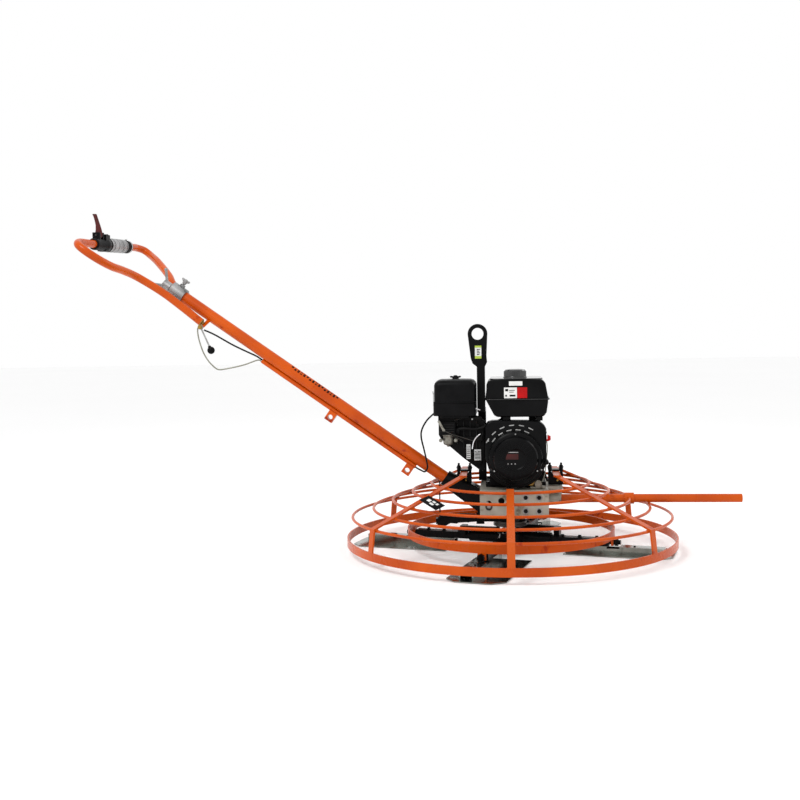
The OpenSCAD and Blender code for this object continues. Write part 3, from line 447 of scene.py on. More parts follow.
def build_handle():
    piece("handlebar_tube", "chassis", "orange",
          lambda bm: add_tube(bm, smooth(HANDLEBAR_ROUTE, 10), BAR_R, 24), replaces=["handlebar"])
    grip_start, grip_end = crossbar(-26), crossbar(180)
    length = (grip_end - grip_start).length
    grip_place = aimed(grip_start, grip_end - grip_start)

    def grip(bm):
        profile = [(BORE_R, 0), (23, 0), (25, 2)]
        ribs = 26
        for k in range(ribs):
            z = 4 + (length - 8) * k / ribs
            profile += [(24.6, z), (24.6, z + 3.2), (23.4, z + 4.2), (23.4, z + 6.2)]
        profile += [(25, length - 2), (23, length), (BORE_R, length), (BORE_R, 0)]
        add_lathe(bm, profile, grip_place, 48)
    piece("grip_sleeve", "chassis", "rubber", grip, replaces=["handle_grip"])

    def bands(bm):
        for z, width in ((18, 6), (30, 34), (68, 40), (112, 34), (150, 6)):
            add_lathe(bm, [(23.4, z), (25.5, z + 0.8), (25.8, z + width / 2), (25.5, z + width - 0.8),
                           (23.4, z + width)], grip_place, 48)
    piece("grip_bands", "chassis", "grey", bands, bevel=0.3)

    def rings(bm):
        for z in (6, length - 12):
            add_lathe(bm, [(23.4, z), (26, z + 0.8), (26, z + 5.2), (23.4, z + 6)], grip_place, 48)
            add_box(bm, (-4, 24, z - 1), (4, 29, z + 7), grip_place)
    piece("grip_clamp_rings", "chassis", "bright_zinc", rings, bevel=0.6)

    housing_start, housing_end = crossbar(-148), crossbar(-30)
    housing_length = (housing_end - housing_start).length

    def housing(bm):
        place = aimed(housing_start, housing_end - housing_start)
        swell = housing_length - 34
        profile = [(BORE_R, 0), (18, 0), (20.5, 3), (21.5, 8), (21.5, swell), (25, swell + 8),
                   (25.5, housing_length - 5), (23, housing_length), (BORE_R, housing_length), (BORE_R, 0)]
        add_lathe(bm, profile, place, 48)
        middle = crossbar(-53)
        add_box(bm, middle + Vector((-18, -20, 4)), middle + Vector((18, 20, 36)))
        add_box(bm, middle + Vector((-20, -12, -24)), middle + Vector((14, 18, 8)))
        for y in (-116, -84):
            ear = crossbar(y)
            add_box(bm, ear + Vector((-14, -5, 8)), ear + Vector((14, 5, 42)))
    piece("lever_housing", "chassis", "plastic", housing, bevel=3.5,
          replaces=["deadman_housing"])

    def housing_screws(bm):
        for x, y in ((-10, -62), (10, -42)):
            add_bolt(bm, crossbar(y) + Vector((x, 0, 35.8)), UP, 3.4, 2.6, washer=False)
        for y in (-121.3, -78.7):
            side = -1 if y < -100 else 1
            add_bolt(bm, crossbar(y) + Vector((0, 0, 32)), (0, side, 0), 4, 2.4, washer=False)
    piece("lever_housing_screws", "chassis", "dark_steel", housing_screws, bevel=0.3)

    pivot = crossbar(-100) + Vector((0, 0, 32))

    def lever(bm):
        add_lathe(bm, [(0, -21), (4, -21), (4, -10.5), (9.5, -10), (9.5, 10), (4, 10.5), (4, 21), (0, 21)],
                  aimed(pivot, LEFT), 32)
        # each section: how far back, how high, half its width across and along the bar
        sections = [(0, -8, 13, 9), (2, 6, 13.5, 9.2), (2, 20, 11, 8.6), (0, 36, 8.5, 7.6),
                    (-4, 52, 7.4, 6.6), (-8, 66, 7.2, 6), (-12, 76, 8, 5.4)]
        sides = 20
        rings = []
        for x, z, half_x, half_y in sections:
            ring = []
            for k in range(sides):
                t = 2 * math.pi * k / sides
                ring.append(bm.verts.new(pivot + Vector((x + half_x * math.cos(t), half_y * math.sin(t), z))))
            rings.append(ring)
        bm.faces.new(rings[0][::-1])
        bm.faces.new(rings[-1])
        for a, b in zip(rings, rings[1:]):
            for k in range(sides):
                j = (k + 1) % sides
                bm.faces.new((a[k], a[j], b[j], b[k]))
    piece("squeeze_lever", "deadman_lever", "lever_red", lever, bevel=1.2,
          replaces=["deadman_lever"])

    swing = handle_point(LEVER_S, -62, LEVER_N)
    ball = swing + Vector((36, 0, -84))

    def throttle_rod(bm):
        add_lathe(bm, [(4.1, -6), (8, -6), (9, -5), (9, 5), (8, 6), (4.1, 6), (4.1, -6)],
                  aimed(swing, LEFT), 32)
        add_tube(bm, [swing + Vector((3, 0, -8)), swing.lerp(ball, 0.5), ball], 3, 16)
    piece("throttle_rod", "throttle_lever", "steel", throttle_rod, bevel=0.3,
          replaces=["throttle_lever"])

    def throttle_ball(bm):
        way = (ball - swing).normalized()
        ball_r = 13.5
        steps = 24
        profile = [(0, -ball_r)]
        for k in range(1, steps):
            t = math.pi * k / steps
            profile.append((ball_r * math.sin(t), -ball_r * math.cos(t)))
        profile.append((0, ball_r))
        add_lathe(bm, profile, aimed(ball, way), 40)
        add_lathe(bm, [(0, -17), (5, -17), (6.2, -12), (0, -12)], aimed(ball, way), 24)
    piece("throttle_ball", "throttle_lever", "plastic", throttle_ball)

    def wing_screw(bm):
        middle = handle_point(COLLAR_S + 28, 0, 0)
        above = (handle_point(0, 0, 1) - handle_point(0, 0, 0)).normalized()
        along = (handle_point(1, 0, 0) - handle_point(0, 0, 0)).normalized()
        place = Matrix.Translation(middle) @ Matrix((along, above.cross(along), above)).transposed().to_4x4()
        profile = [(0, 22.2), (4, 22.2), (4, 38), (7, 40), (8.5, 47), (8, 57), (5, 59), (0, 59)]
        add_lathe(bm, profile, place, 28)
        for side in (-1, 1):
            outline = [(0, 46), (side * 9, 47), (side * 16, 52), (side * 17, 57), (side * 12, 59), (0, 55)]
            if side < 0:
                outline = outline[::-1]
            add_prism(bm, outline, -2.2, 2.2, place @ Matrix.Rotation(math.pi / 2, 4, "X"))
    piece("collar_wing_screw", "collar_screw", "die_cast", wing_screw, bevel=1.0,
          replaces=["collar_screw"])

    def tube_clamps(bm):
        end = Vector(HANDLEBAR_ROUTE[0])
        way = end - Vector(HANDLEBAR_ROUTE[1])
        add_lathe(bm, [(0, 0), (14.3, 0), (14.3, 3), (10, 5), (0, 5)], aimed(end, way), 32)
        add_bolt(bm, end + way.normalized() * 5, way, 8, 5)
        add_bolt(bm, handle_point(LEVER_S, -70, LEVER_N), (0, -1, 0), 6, 4)
    piece("handlebar_end_nut", "chassis", "yellow_zinc", tube_clamps, bevel=0.4)

    def handle_bands(bm):
        # small dark marks in a row where the tube is printed, near its upper edge
        above = (handle_point(0, 0, 1) - handle_point(0, 0, 0)).normalized()
        along = (handle_point(1, 0, 0) - handle_point(0, 0, 0)).normalized()
        for k in range(16):
            for row, angle in enumerate((-50, -38, -26)):
                if (k * 2 + row) % 5 == 0:
                    continue
                turn = math.radians(angle)
                out = above * math.cos(turn) + Vector((0, 1, 0)) * math.sin(turn)
                at = handle_point(478 + 13 * k, 0, 0) + out * 20.9
                place = Matrix.Translation(at) @ Matrix((along, out.cross(along), out)).transposed().to_4x4()
                add_box(bm, (-4, -1.9, 0), (4, 1.9, 0.6), place)
    piece("handle_print", "chassis", "plastic", handle_bands, bevel=0.15)

    cables = [("throttle_cable", THROTTLE_ROUTE, 3, "rubber"), ("stop_wire", STOP_ROUTE, 2.5, "wire"),
              ("engine_cable", ENGINE_ROUTE, 3, "rubber")]
    for k, (name, route, radius, look) in enumerate(cables):
        piece(name, "chassis", look,
              lambda bm, route=route, radius=radius: add_tube(bm, smooth(route, 8), radius, 16),
              replaces=["control_cables"] if k == 0 else [])


# ---------------------------------------------------------------- fuel tank and air cleaner

def rounded_outline(low, high, radius, steps=6):
    """A rectangle's outline with round corners."""
    corners = [((high[0] - radius, high[1] - radius), 0), ((low[0] + radius, high[1] - radius), 90),
               ((low[0] + radius, low[1] + radius), 180), ((high[0] - radius, low[1] + radius), 270)]
    points = []
    for (x, y), start in corners:
        for k in range(steps + 1):
            t = math.radians(start + 90 * k / steps)
            points.append((x + radius * math.cos(t), y + radius * math.sin(t)))
    return points


# Local x, y and z of a side view stand for row X, row Z and row -Y
SIDE_VIEW = Matrix.Rotation(math.pi / 2, 4, "X")


def build_tank():
    def tank(bm):
        outline = [(-82, 545), (-78, 572), (-77, 598), (-68, 608), (-30, 611.5), (0, 613), (62, 613),
                   (112, 609), (124, 600), (129, 572), (134, 545), (133, 530), (128, 496), (118, 482),
                   (104, 481), (-42, 481), (-52, 488), (-66, 514)]
        add_prism(bm, outline[::-1], -95, 140, SIDE_VIEW)
    piece("tank_shell", "chassis", "black", tank, bevel=9, segments=5, replaces=["fuel_tank"])

    def creases(bm):
        # the pressed edge round the tank's raised top, and the seam's rolled lip
        add_prism(bm, rounded_outline((-66, -133), (116, 88), 30), 609.5, 613.6)
        add_prism(bm, rounded_outline((-20, -70), (64, 20), 34), 612, 616.5)
        add_prism(bm, rounded_outline((-83, -145.6), (139.6, 100.6), 17), TANK_SEAM_Z - 1, TANK_SEAM_Z + 1)
    piece("tank_creases", "chassis", "gloss", creases, bevel=0.9)

    def seam(bm):
        add_prism(bm, rounded_outline((-82, -144.5), (138.5, 99.5), 16), TANK_SEAM_Z - 2.6, TANK_SEAM_Z + 2.6)
    piece("tank_seam", "chassis", "black", seam, bevel=0.9)

    def neck(bm):
        place = Matrix.Translation((CAP_AT.x, CAP_AT.y, 0))
        profile = [(0, 604), (36, 604), (36, 613.5), (30, 616), (26, 616.4), (26, 624), (0, 624)]
        add_lathe(bm, profile, place, 48)
    piece("tank_neck", "chassis", "black", neck, bevel=0.8)

    def cap(bm):
        place = Matrix.Translation(CAP_AT)
        outline = []
        ridges = 36
        for k in range(ridges * 4):
            t = 2 * math.pi * k / (ridges * 4)
            r = 39.5 if k % 4 in (0, 1) else 37.5
            outline.append((r * math.cos(t), r * math.sin(t)))
        add_prism(bm, outline, 3, 22, place)
        add_lathe(bm, [(0, 20), (37, 20), (37.8, 23), (34, 27), (24, 29), (0, 29)], place, 64)
        add_lathe(bm, [(26.2, 0.6), (38, 0.6), (38.8, 2), (38, 4), (26.2, 4), (26.2, 0.6)], place, 64)
    piece("ridged_cap", "fuel_cap", "gloss", cap, bevel=0.7, replaces=["fuel_cap"])

    def plate(bm):
        add_box(bm, (0, -142.2, 589), (46, -139.4, 604))
    piece("tank_plate", "chassis", "white", plate, bevel=1.0)

    def sticker_white(bm):
        add_box(bm, (-17, -140.7, 546), (27, -139.6, 583))
    piece("tank_sticker_pale", "chassis", "white", sticker_white, bevel=0.3)

    def sticker_red(bm):
        add_box(bm, (28, -140.7, 546), (62, -139.6, 583))
    piece("tank_sticker_red", "chassis", "red", sticker_red, bevel=0.3)

    def sticker_marks(bm):
        marks = [(-13, 570, 10, 8), (0, 572, 20, 2), (0, 566, 16, 2), (-13, 552, 6, 6), (2, 552, 20, 6)]
        for x, z, w, h in marks:
            add_box(bm, (x, -141.1, z), (x + w, -140.6, z + h))
    piece("tank_sticker_marks", "chassis", "plastic", sticker_marks, bevel=0.1)

    def brackets(bm):
        for x in (-22, 92):
            add_box(bm, (x, -136, 468), (x + 22, -60, 481))
            add_box(bm, (x + 2, -40, 446), (x + 18, 40, 481))
    piece("tank_brackets", "chassis", "cast", brackets, bevel=1.2)


def build_air_cleaner():
    low, high = CLEANER_LOW, CLEANER_HIGH

    def cover(bm):
        levels = [(0, low.z + 0.2), (0, 592), (3, 601), (9, 607.5), (18, 611), (34, 612)]
        rings = []
        for inset, z in levels:
            outline = rounded_outline((low.x + inset, low.y + inset), (high.x - inset, high.y - inset), 18)
            rings.append([bm.verts.new((x, y, z)) for x, y in outline])
        bm.faces.new(rings[0][::-1])
        bm.faces.new(rings[-1])
        count = len(rings[0])
        for a, b in zip(rings, rings[1:]):
            for k in range(count):
                j = (k + 1) % count
                bm.faces.new((a[k], a[j], b[j], b[k]))
    piece("cleaner_cover", "chassis", "plastic", cover, replaces=["air_cleaner_cover"])

    def base(bm):
        add_prism(bm, rounded_outline((low.x - 3.5, low.y), (high.x, high.y), 18), 487, low.z - 6)
        add_prism(bm, rounded_outline((low.x - 3.5, low.y - 0.4), (high.x + 0.4, high.y + 0.4), 18),
                  low.z - 6, low.z - 0.4)
        add_prism(bm, rounded_outline((low.x + 20, low.y + 12), (high.x - 20, high.y - 30), 14), 478, 488)
    piece("cleaner_base", "chassis", "plastic", base, bevel=1.6,
          replaces=["air_cleaner_base"])

    def nut(bm):
        place = Matrix.Translation(((low.x + high.x) / 2, (low.y + high.y) / 2, 611.5))
        add_lathe(bm, [(0, 0), (13, 0), (13, 2), (9, 4), (8, 11), (5, 14), (0, 14)], place, 32)
        for side in (-1, 1):
            outline = [(side * 6, 3), (side * 18, 6), (side * 20, 10), (side * 16, 12), (side * 6, 10)]
            if side < 0:
                outline = outline[::-1]
            add_prism(bm, outline, -2.5, 2.5, place @ Matrix.Rotation(math.pi / 2, 4, "X"))
    piece("cleaner_nut", "chassis", "plastic", nut, bevel=0.8)

    def clips(bm):
        for y in (-110, -42):
            add_box(bm, (low.x - 5, y - 8, low.z - 16), (low.x - 0.5, y + 8, 566))
            add_tube(bm, [(low.x - 5, y - 6, 562), (low.x - 6, y, 570), (low.x - 5, y + 6, 562)], 1.6, 8)
    piece("cleaner_clips", "chassis", "bright_zinc", clips, bevel=0.8)


# ---------------------------------------------------------------- engine

def fan_outline():
    """The shroud's outline: round below, and square-shouldered above."""
    points = []
    for k in range(33):
        t = math.radians(215 + 145 * k / 32)
        points.append((CRANK_X + 106 * math.cos(t), max(CRANK_Z + 106 * math.sin(t), 238)))
    points += [(126, 350), (126, 440), (118, 456), (100, 466), (60, 469), (-60, 470), (-78, 464), (-84, 448)]
    points += [(-84, 342)]
    return points


def build_shroud():
    piece("fan_shroud", "chassis", "black",
          lambda bm: add_prism(bm, fan_outline(), 92.2, 150, SIDE_VIEW), bevel=9, segments=5,
          replaces=["fan_cover"])

    def recoil(bm):
        place = aimed((CRANK_X, FAN_Y + 0.2, CRANK_Z), (0, -1, 0))
        add_lathe(bm, [(0, 0), (92, 0), (92, 20), (90, 28), (84, 32), (78, 33), (76, 40), (72, 47), (64, 50),
                       (36, 50), (33, 48), (30, 47), (0, 47)], place, 72)
    piece("recoil_housing", "chassis", "black", recoil, bevel=0.8, replaces=["recoil_cover"])

    def ribs(bm):
        place = aimed((CRANK_X, RECOIL_Y, CRANK_Z), (0, -1, 0))
        for k in range(24):
            turn = place @ Matrix.Rotation(math.radians(15 * k), 4, "Z")
            add_box(bm, (40, -2, -1.5), (62, 2, 1.8), turn)
        add_lathe(bm, [(36, 0), (36, 1.6), (39, 1.6), (39, 0), (36, 0)], place, 64)
    piece("recoil_ribs", "chassis", "plastic", ribs, bevel=0.5)

    def louvres(bm):
        # pressed strips in two arcs above the starter
        for radius, count, first, last in ((112, 6, 62, 148), (96, 5, 66, 140)):
            for k in range(count):
                t = math.radians(first + (last - first) * k / (count - 1))
                at = (CRANK_X + radius * math.cos(t), FAN_Y - 0.5, CRANK_Z + radius * math.sin(t))
                if at[2] > 458:
                    continue
                turn = Matrix.Translation(at) @ Matrix.Rotation(-t + math.pi / 2, 4, "Y")
                add_box(bm, (-9, -1.8, -2), (9, 1.5, 2), turn)
    piece("shroud_louvres", "chassis", "steel", louvres, bevel=1.0)

    def shroud_bolts(bm):
        for x, z in ((-73, 401), (80, 400), (-70, 300), (108, 300)):
            add_bolt(bm, (x, FAN_Y - 0.1, z), (0, -1, 0), 3.4, 3.4, washer=False)
        for k in range(3):
            t = math.radians(90 + 120 * k)
            add_bolt(bm, (CRANK_X + 84 * math.cos(t), -182.2, CRANK_Z + 84 * math.sin(t)), (0, -1, 0), 3, 3,
                     washer=False)
    piece("shroud_bolts", "chassis", "steel", shroud_bolts, bevel=0.4)

    def centre_label(bm):
        add_box(bm, (-14, -198.2, 341), (29, -196.8, 360))
    piece("centre_label_red", "chassis", "lever_red", centre_label, bevel=0.2)

    def label_line(bm):
        add_box(bm, (-14, -198.2, 364), (29, -196.8, 367))
        for x in (-6, 6, 18):
            add_lathe(bm, [(0, 0), (2.6, 0), (2.2, 1.2), (0, 1.4)], aimed((x, -197, 326), (0, -1, 0)), 16)
    piece("centre_label_marks", "chassis", "grey", label_line, bevel=0.2)

    def grip(bm):
        grip_x = CRANK_X + RECOIL_R + 11
        place = aimed((grip_x, -194, 330), (0, 1, 0))
        add_lathe(bm, [(0, 0), (5, 0), (8.5, 4), (9, 12), (7.2, 20), (9, 28), (8.5, 36), (5, 40), (0, 40)],
                  place, 32)
        add_lathe(bm, [(0, 0), (2.5, 0), (2.5, 143), (0, 143)], aimed((-20, -172, 330), FORWARD), 16)
    piece("starter_grip", "recoil_grip", "plastic", grip, replaces=["recoil_grip"])

    def switch(bm):
        place = aimed((126.2, -140, 408), FORWARD)
        add_lathe(bm, [(0, 0), (11, 0), (11, 7), (9.5, 8), (8, 13), (6, 14), (0, 14)], place, 32)
        add_box(bm, (-9.5, -2.2, 8), (9.5, 2.2, 14), place)
    piece("rotary_switch", "engine_switch", "red", switch, bevel=0.6,
          replaces=["engine_switch"])

    def switch_loop(bm):
        path = [Vector((127, -140 + 15 * math.cos(t), 412 + 17 * math.sin(t)))
                for t in [math.radians(-20 + 220 * k / 24) for k in range(25)]]
        add_tube(bm, path, 1.7, 10)
    piece("switch_guard", "chassis", "chrome", switch_loop)

    def wire(bm):
        add_tube(bm, smooth([(127, -144, 398), (129, -146, 376), (126, -144, 340), (122, -138, 300),
                             (116, -130, 268), (106, -120, 250)], 8), 1.6, 10)
    piece("earth_wire", "chassis", "wire", wire)

    def drain(bm):
        add_lathe(bm, [(0, 0), (9, 0), (10, 3), (10, 12), (13, 14), (13, 20), (0, 20)],
                  aimed((92, -92, 246), (0.3, -1, 0)), 28)
        add_box(bm, (70, -110, 230.5), (124, -72, 236))
    piece("drain_fitting", "chassis", "zinc", drain, bevel=1.0)


def build_cylinder_side():
    tilt = Matrix.Translation((CRANK_X, 0, CRANK_Z)) @ Matrix.Rotation(math.radians(205), 4, "Y")

    def head_cover(bm):
        add_box(bm, (238, -38, -32), (244, 38, 32), tilt)
        for y in (-32, 32):
            for z in (-26, 26):
                add_bolt(bm, tilt @ Vector((244, y, z)), tilt.to_3x3() @ FORWARD, 5, 4)
        add_box(bm, (176, -56, -30), (200, -48, 30), tilt)
    piece("valve_cover_bolts", "chassis", "cast", head_cover, bevel=1.2)

    def plug_cap(bm):
        start = tilt @ Vector((196, -48, 10))
        way = Vector((-0.2, -1, 0.15))
        add_lathe(bm, [(0, 0), (8, 0), (8, 18), (10, 20), (10, 34), (6, 38), (0, 38)], aimed(start, way), 28)
        knee = start + way.normalized() * 38
        add_tube(bm, smooth([knee, knee + Vector((14, -4, 14)), (-110, -100, 372), (-96, -104, 410),
                             (-88, -100, 440)], 8), 3.4, 12)
    piece("plug_lead", "chassis", "rubber", plug_cap)

    def body(bm):
        add_box(bm, (-240, -130, 420), (-186, -84, 466))
        add_box(bm, (-246, -122, 460), (-180, -70, 487))
        add_lathe(bm, [(0, 0), (14, 0), (14, 30), (0, 30)], Matrix.Translation((-210, -105, 458)), 32)
        add_lathe(bm, [(0, 0), (16, 0), (18, 6), (18, 14), (0, 14)], aimed((-186, -108, 430), FORWARD), 32)
        for z in (430, 438, 446, 454):
            add_box(bm, (-242, -132, z), (-190, -126, z + 3))
    piece("carburettor_body", "chassis", "cast", body, bevel=1.6, replaces=["carburetor"])

    def bowl(bm):
        add_lathe(bm, [(0, 0), (13, 0), (17, 3), (18, 8), (18, 30), (20, 32), (20, 38), (0, 38)],
                  Matrix.Translation((-212, -108, 384)), 36)
        add_bolt(bm, (-212, -108, 384), (0, 0, -1), 6, 5)
        for x in (-238, -186):
            add_bolt(bm, (x, -118, 400), (0, -1, 0), 4.5, 5)
            add_lathe(bm, [(0, 0), (6, 0), (6, 10), (4, 14), (0, 14)], aimed((x, -104, 400), (0, -1, 0)), 20)
    piece("float_bowl", "chassis", "carb", bowl, bevel=0.8)

    def control_base(bm):
        # the governor and control casting that fills the corner between cylinder, carburettor and crankcase
        outline = [(-246, 484), (-246, 418), (-238, 404), (-206, 376), (-160, 336), (-104, 294), (-86, 290),
                   (-86, 466), (-112, 484)]
        add_prism(bm, outline, 78, 104, SIDE_VIEW)
        for k in range(6):
            add_box(bm, (-226 + 22 * k, -110, 420 - 17 * k), (-222 + 22 * k, -100, 468))
        add_box(bm, (-200, -118, 470), (-96, -100, 482))
        add_box(bm, (-176, -116, 398), (-92, -102, 412))
        for x, z in ((-190, 452), (-150, 440), (-110, 452), (-132, 356), (-104, 322)):
            add_lathe(bm, [(0, 0), (9, 0), (8, 8), (0, 8)], aimed((x, -103, z), (0, -1, 0)), 24)
    piece("control_base", "chassis", "cast", control_base, bevel=2.4)

    def levers(bm):
        for low, high in (((-149, -119, 335), (-135, -116, 386)), ((-122, -119, 330), (-99, -116, 368))):
            add_box(bm, low, high)
        add_box(bm, (-168, -122, 484), (-146, -119, 492))
        for x, z in ((-143, 380), (-112, 362), (-206, 462), (-128, 474)):
            add_bolt(bm, (x, -121, z), (0, -1, 0), 3, 3, washer=False)
    piece("governor_plates", "chassis", "bright_zinc", levers, bevel=0.8)

    def plate_slots(bm):
        for x0, x1, low, high in ((-149, -135, 339, 383), (-122, -99, 334, 364)):
            for k in range(6):
                z = low + (high - low) * k / 6
                add_box(bm, (x0 + 1.5, -119.8, z), (x1 - 1.5, -118.9, z + 2.6))
    piece("governor_slots", "chassis", "plastic", plate_slots, bevel=0.1)

    def springs(bm):
        add_spring(bm, (-190, -128, 470), (-140, -118, 486), 3.2, 0.8, 12)
        add_spring(bm, (-200, -136, 420), (-160, -118, 396), 2.6, 0.7, 12)
        rod = [(-232, -138, 440), (-200, -138, 424), (-160, -126, 410), (-120, -118, 396)]
        add_tube(bm, smooth(rod, 8), 1.3, 8)
    piece("governor_springs", "chassis", "dark_steel", springs)

    def link(bm):
        lower = [(-128, -138, 372), (-124, -140, 394), (-114, -142, 412), (-100, -142, 424)]
        add_tube(bm, smooth(lower, 8), 2.4, 12)
        upper = [(-160, -132, 500), (-140, -134, 508), (-120, -134, 512), (-100, -130, 506)]
        add_tube(bm, smooth(upper, 8), 2.2, 12)
    piece("bright_links", "chassis", "chrome", link)

    def hoses(bm):
        add_tube(bm, smooth([(-20, -100, 474), (-50, -112, 462), (-110, -116, 440), (-160, -118, 442),
                             (-186, -118, 436)], 10), 4.5, 14)
        inner = [(-170, -40, 484), (-150, -60, 460), (-120, -80, 452), (-90, -90, 446)]
        add_tube(bm, smooth(inner, 10), 6, 14)
    piece("fuel_hoses", "chassis", "rubber", hoses)

    def muffler(bm):
        add_prism(bm, rounded_outline((-252, 492), (-124, 596), 20), -150, -14, SIDE_VIEW)
        add_prism(bm, rounded_outline((-254, 490), (-122, 598), 21), -84, -80, SIDE_VIEW)
    piece("muffler_box", "chassis", "muffler", muffler, bevel=3, replaces=["muffler"])

    def guard_slots(bm):
        for row in range(4):
            for k in range(6):
                x = -238 + 18 * k
                z = 508 + 20 * row
                add_box(bm, (x, 150, z), (x + 11, 151.6, z + 10))
        add_lathe(bm, [(9, 0), (12, 0), (12, 14), (9, 14), (9, 0)], aimed((-252, 110, 560), (-1, 0, 0)), 28)
    piece("muffler_guard", "chassis", "carb", guard_slots, bevel=0.5)


def build_drive_cover():
    # two arcs joined by straight sides: a small one round the crank, a large one round the lower pulley
    crank = Vector((CRANK_X, CRANK_Z))
    pulley = Vector((70, 170))
    reach = crank - pulley
    angle = math.atan2(reach.y, reach.x)
    large = 88
    small = 66
    spread = math.degrees(math.asin((large - small) / reach.length))
    arcs = [(crank, small, spread - 90, 90 - spread), (pulley, large, 90 - spread, 270 + spread)]
    steps = 24
    outline = []
    for centre, radius, first, last in arcs:
        for k in range(steps + 1):
            t = angle + math.radians(first + (last - first) * k / steps)
            outline.append((centre.x + radius * math.cos(t), centre.y + radius * math.sin(t)))
    piece("belt_cover", "chassis", "black",
          lambda bm: add_prism(bm, outline, -222, -166, SIDE_VIEW), bevel=6, segments=4,
          replaces=["belt_guard"])

    def details(bm):
        add_bolt(bm, (42, 222, 267), LEFT, 8, 6)
        for k in range(5):
            add_box(bm, (8 * k, 221.5, 300 - 28 * k), (34 + 8 * k, 224, 306 - 28 * k))
    piece("belt_cover_details", "chassis", "steel", details, bevel=1.0)


# ---------------------------------------------------------------- base, guard and rotor details

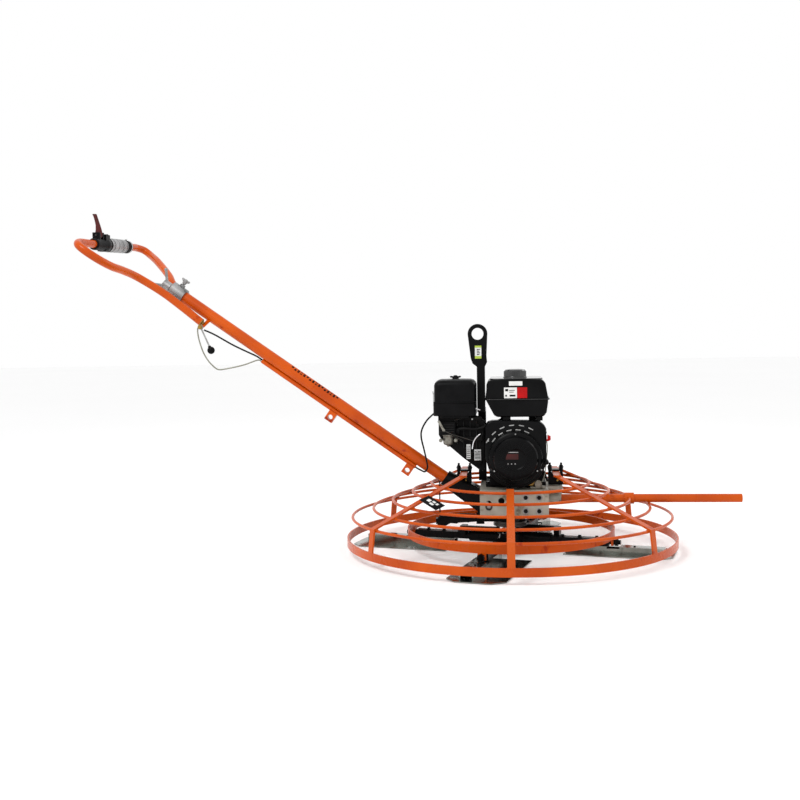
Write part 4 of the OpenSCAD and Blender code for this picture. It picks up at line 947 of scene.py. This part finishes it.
def build_labels_and_fasteners():
    def bail_label(bm):
        add_box(bm, (-119, -5.7, 681), (-96, -4.8, 727))
    piece("bail_label", "chassis", "white", bail_label, bevel=0.2)

    def bail_label_ends(bm):
        add_box(bm, (-119, -6.1, 681), (-96, -5.5, 690))
        add_box(bm, (-119, -6.1, 720), (-96, -5.5, 727))
    piece("bail_label_ends", "chassis", "green", bail_label_ends, bevel=0.1)

    def bail_marks(bm):
        for k in range(4):
            add_box(bm, (-112, -6.2, 694 + 6 * k), (-103 + 2 * (k % 2), -5.6, 697 + 6 * k))
    piece("bail_label_marks", "chassis", "plastic", bail_marks, bevel=0.1)

    def clamp_bolts(bm):
        for side in (-1, 1):
            for across in (-20, 20):
                add_bolt(bm, (side * HOOP_X + across, 0, HOOP_Z + 15.3), UP, 7, 6)
                add_lathe(bm, [(0, 0), (4, 0), (4, 12), (0, 12)],
                          Matrix.Translation((side * HOOP_X + across, 0, 295)), 20)
    piece("clamp_bolts", "chassis", "black", clamp_bolts, bevel=0.4)

    def clamp_screws(bm):
        for side in (-1, 1):
            for z in (246, 258):
                add_bolt(bm, (side * HOOP_X + 6, -18.2, z), (0, -1, 0), 4, 4, washer=False)
    piece("clamp_screws", "chassis", "yellow_zinc", clamp_screws, bevel=0.4)

    def base_washers(bm):
        for side in (-1, 1):
            for x, z in BASE_BOLTS:
                add_lathe(bm, [(8, 0), (11.5, 0), (11.5, 1.6), (8, 1.6), (8, 0)],
                          aimed((x, side * BASE_SIDE_Y, z), (0, side, 0)), 28)
    piece("base_washers", "chassis", "steel", base_washers, bevel=0.3)

    def pivot_rings(bm):
        for side in (-1, 1):
            place = aimed((PIVOT_BOLT[0], side * BASE_SIDE_Y, PIVOT_BOLT[1]), (0, side, 0))
            add_lathe(bm, [(6, 0), (12.5, 0), (12.5, 1.4), (9, 2.6), (6, 2.6), (6, 0)], place, 32)
    piece("pivot_bolt_rings", "chassis", "dark_steel", pivot_rings, bevel=0.3)

    def pivot_heads(bm):
        for side in (-1, 1):
            place = aimed((PIVOT_BOLT[0], side * BASE_SIDE_Y, PIVOT_BOLT[1]), (0, side, 0))
            add_lathe(bm, [(0, 0), (6, 0), (6, 3), (4, 4.4), (0, 4.4)], place, 28)
    piece("pivot_bolt_heads", "chassis", "steel", pivot_heads, bevel=0.3)

    def gearbox_ribs(bm):
        for k in range(10):
            t = math.radians(36 * k + 18)
            turn = Matrix.Rotation(t, 4, "Z")
            add_bolt(bm, turn @ Vector((68, 0, 122)), (0, 0, -1), 5, 4)
            if abs(math.sin(t)) < 0.95:
                add_box(bm, (74, -3, 134), (80, 3, 205), turn)
    piece("gearbox_ribs", "chassis", "cast", gearbox_ribs, bevel=1.0)

    def weld_beads(bm):
        # one on each side of a spoke wherever a rod or the ring meets it
        for angle in SPOKE_ANGLES:
            turn = Matrix.Rotation(math.radians(angle), 4, "Z")
            for inset in ROD_INSETS:
                r = GUARD_R - inset
                rod_z = SPOKE_FOOT_Z + (GUARD_R - 12 - r) * SPOKE_RISE - ROD_DROP
                for side in (-1, 1):
                    bead = [(r - 5, side * 12.2, rod_z + 3.5), (r, side * 12.6, rod_z + 5),
                            (r + 5, side * 12.2, rod_z + 3.5)]
                    add_tube(bm, smooth([turn @ Vector(point) for point in bead], 4), 2.1, 8)
            for side in (-1, 1):
                foot = [turn @ Vector((GUARD_R - 3 + along, side * 12.4, 53.2)) for along in (-3, 0, 3)]
                add_tube(bm, foot, 1.8, 8)
    piece("guard_weld_beads", "chassis", "orange", weld_beads)

    plate_place = (Matrix.Translation((-256, -332, 214)) @ Matrix.Rotation(math.radians(8), 4, "Y")
                   @ Matrix.Rotation(math.radians(24), 4, "X") @ Matrix.Rotation(math.radians(-38), 4, "Z"))

    def guard_plate(bm):
        add_box(bm, (-38, -22, 0), (38, 22, 2), plate_place)
    piece("guard_label_plate", "chassis", "plastic", guard_plate, bevel=0.6)

    def guard_plate_marks(bm):
        for x, y, w, h in ((-22, -6, 13, 14), (-4, 2, 12, 9), (-4, -12, 16, 9), (13, 0, 9, 10)):
            add_box(bm, (x, y, 1.8), (x + w, y + h, 2.5), plate_place)
    piece("guard_label_marks", "chassis", "white", guard_plate_marks, bevel=0.2)


def build_rotor_details():
    def tail(bm):
        outline = [(-262, 84), (-262, 108), (-246, 118), (-214, 116), (-186, 124), (-150, 124), (-122, 122),
                   (-122, 104), (-150, 92), (-176, 96), (-192, 88), (-214, 90), (-232, 80), (-250, 78)]
        add_prism(bm, outline, -8, 8, SIDE_VIEW)
    piece("yoke_tail", "yoke", "cast", tail, bevel=2.0)

    for i in (1, 2, 3, 4):
        place = on_arm(i)

        def blade_bolts(bm, place=place):
            way = place.to_3x3() @ UP
            for x in (190, 250, 310):
                add_bolt(bm, place @ Vector((x, 0, 12.6)), way, 6, 5)
            for x in (440, 500):
                add_bolt(bm, place @ Vector((x, 0, -12.4)), way, 4, 3, washer=False)
        piece(f"blade_bolts_{i}", f"blade_unit_{i}", "black", blade_bolts, bevel=0.4)

        def hub_details(bm, place=place):
            for x in (100, 140):
                way = place.to_3x3() @ UP
                add_lathe(bm, [(0, 0), (5, 0), (5, 5), (2.2, 6), (2.8, 10), (1.6, 12), (0, 12)],
                          Matrix.Translation(place @ Vector((x, 0, 21.6))), 20)
        piece(f"grease_points_{i}", "rotor", "steel", hub_details, bevel=0.3)


place_camera()
build_stage()
dress_cad_nodes()
build_handle()
build_tank()
build_air_cleaner()
build_shroud()
build_cylinder_side()
build_drive_cover()
build_labels_and_fasteners()
build_rotor_details()
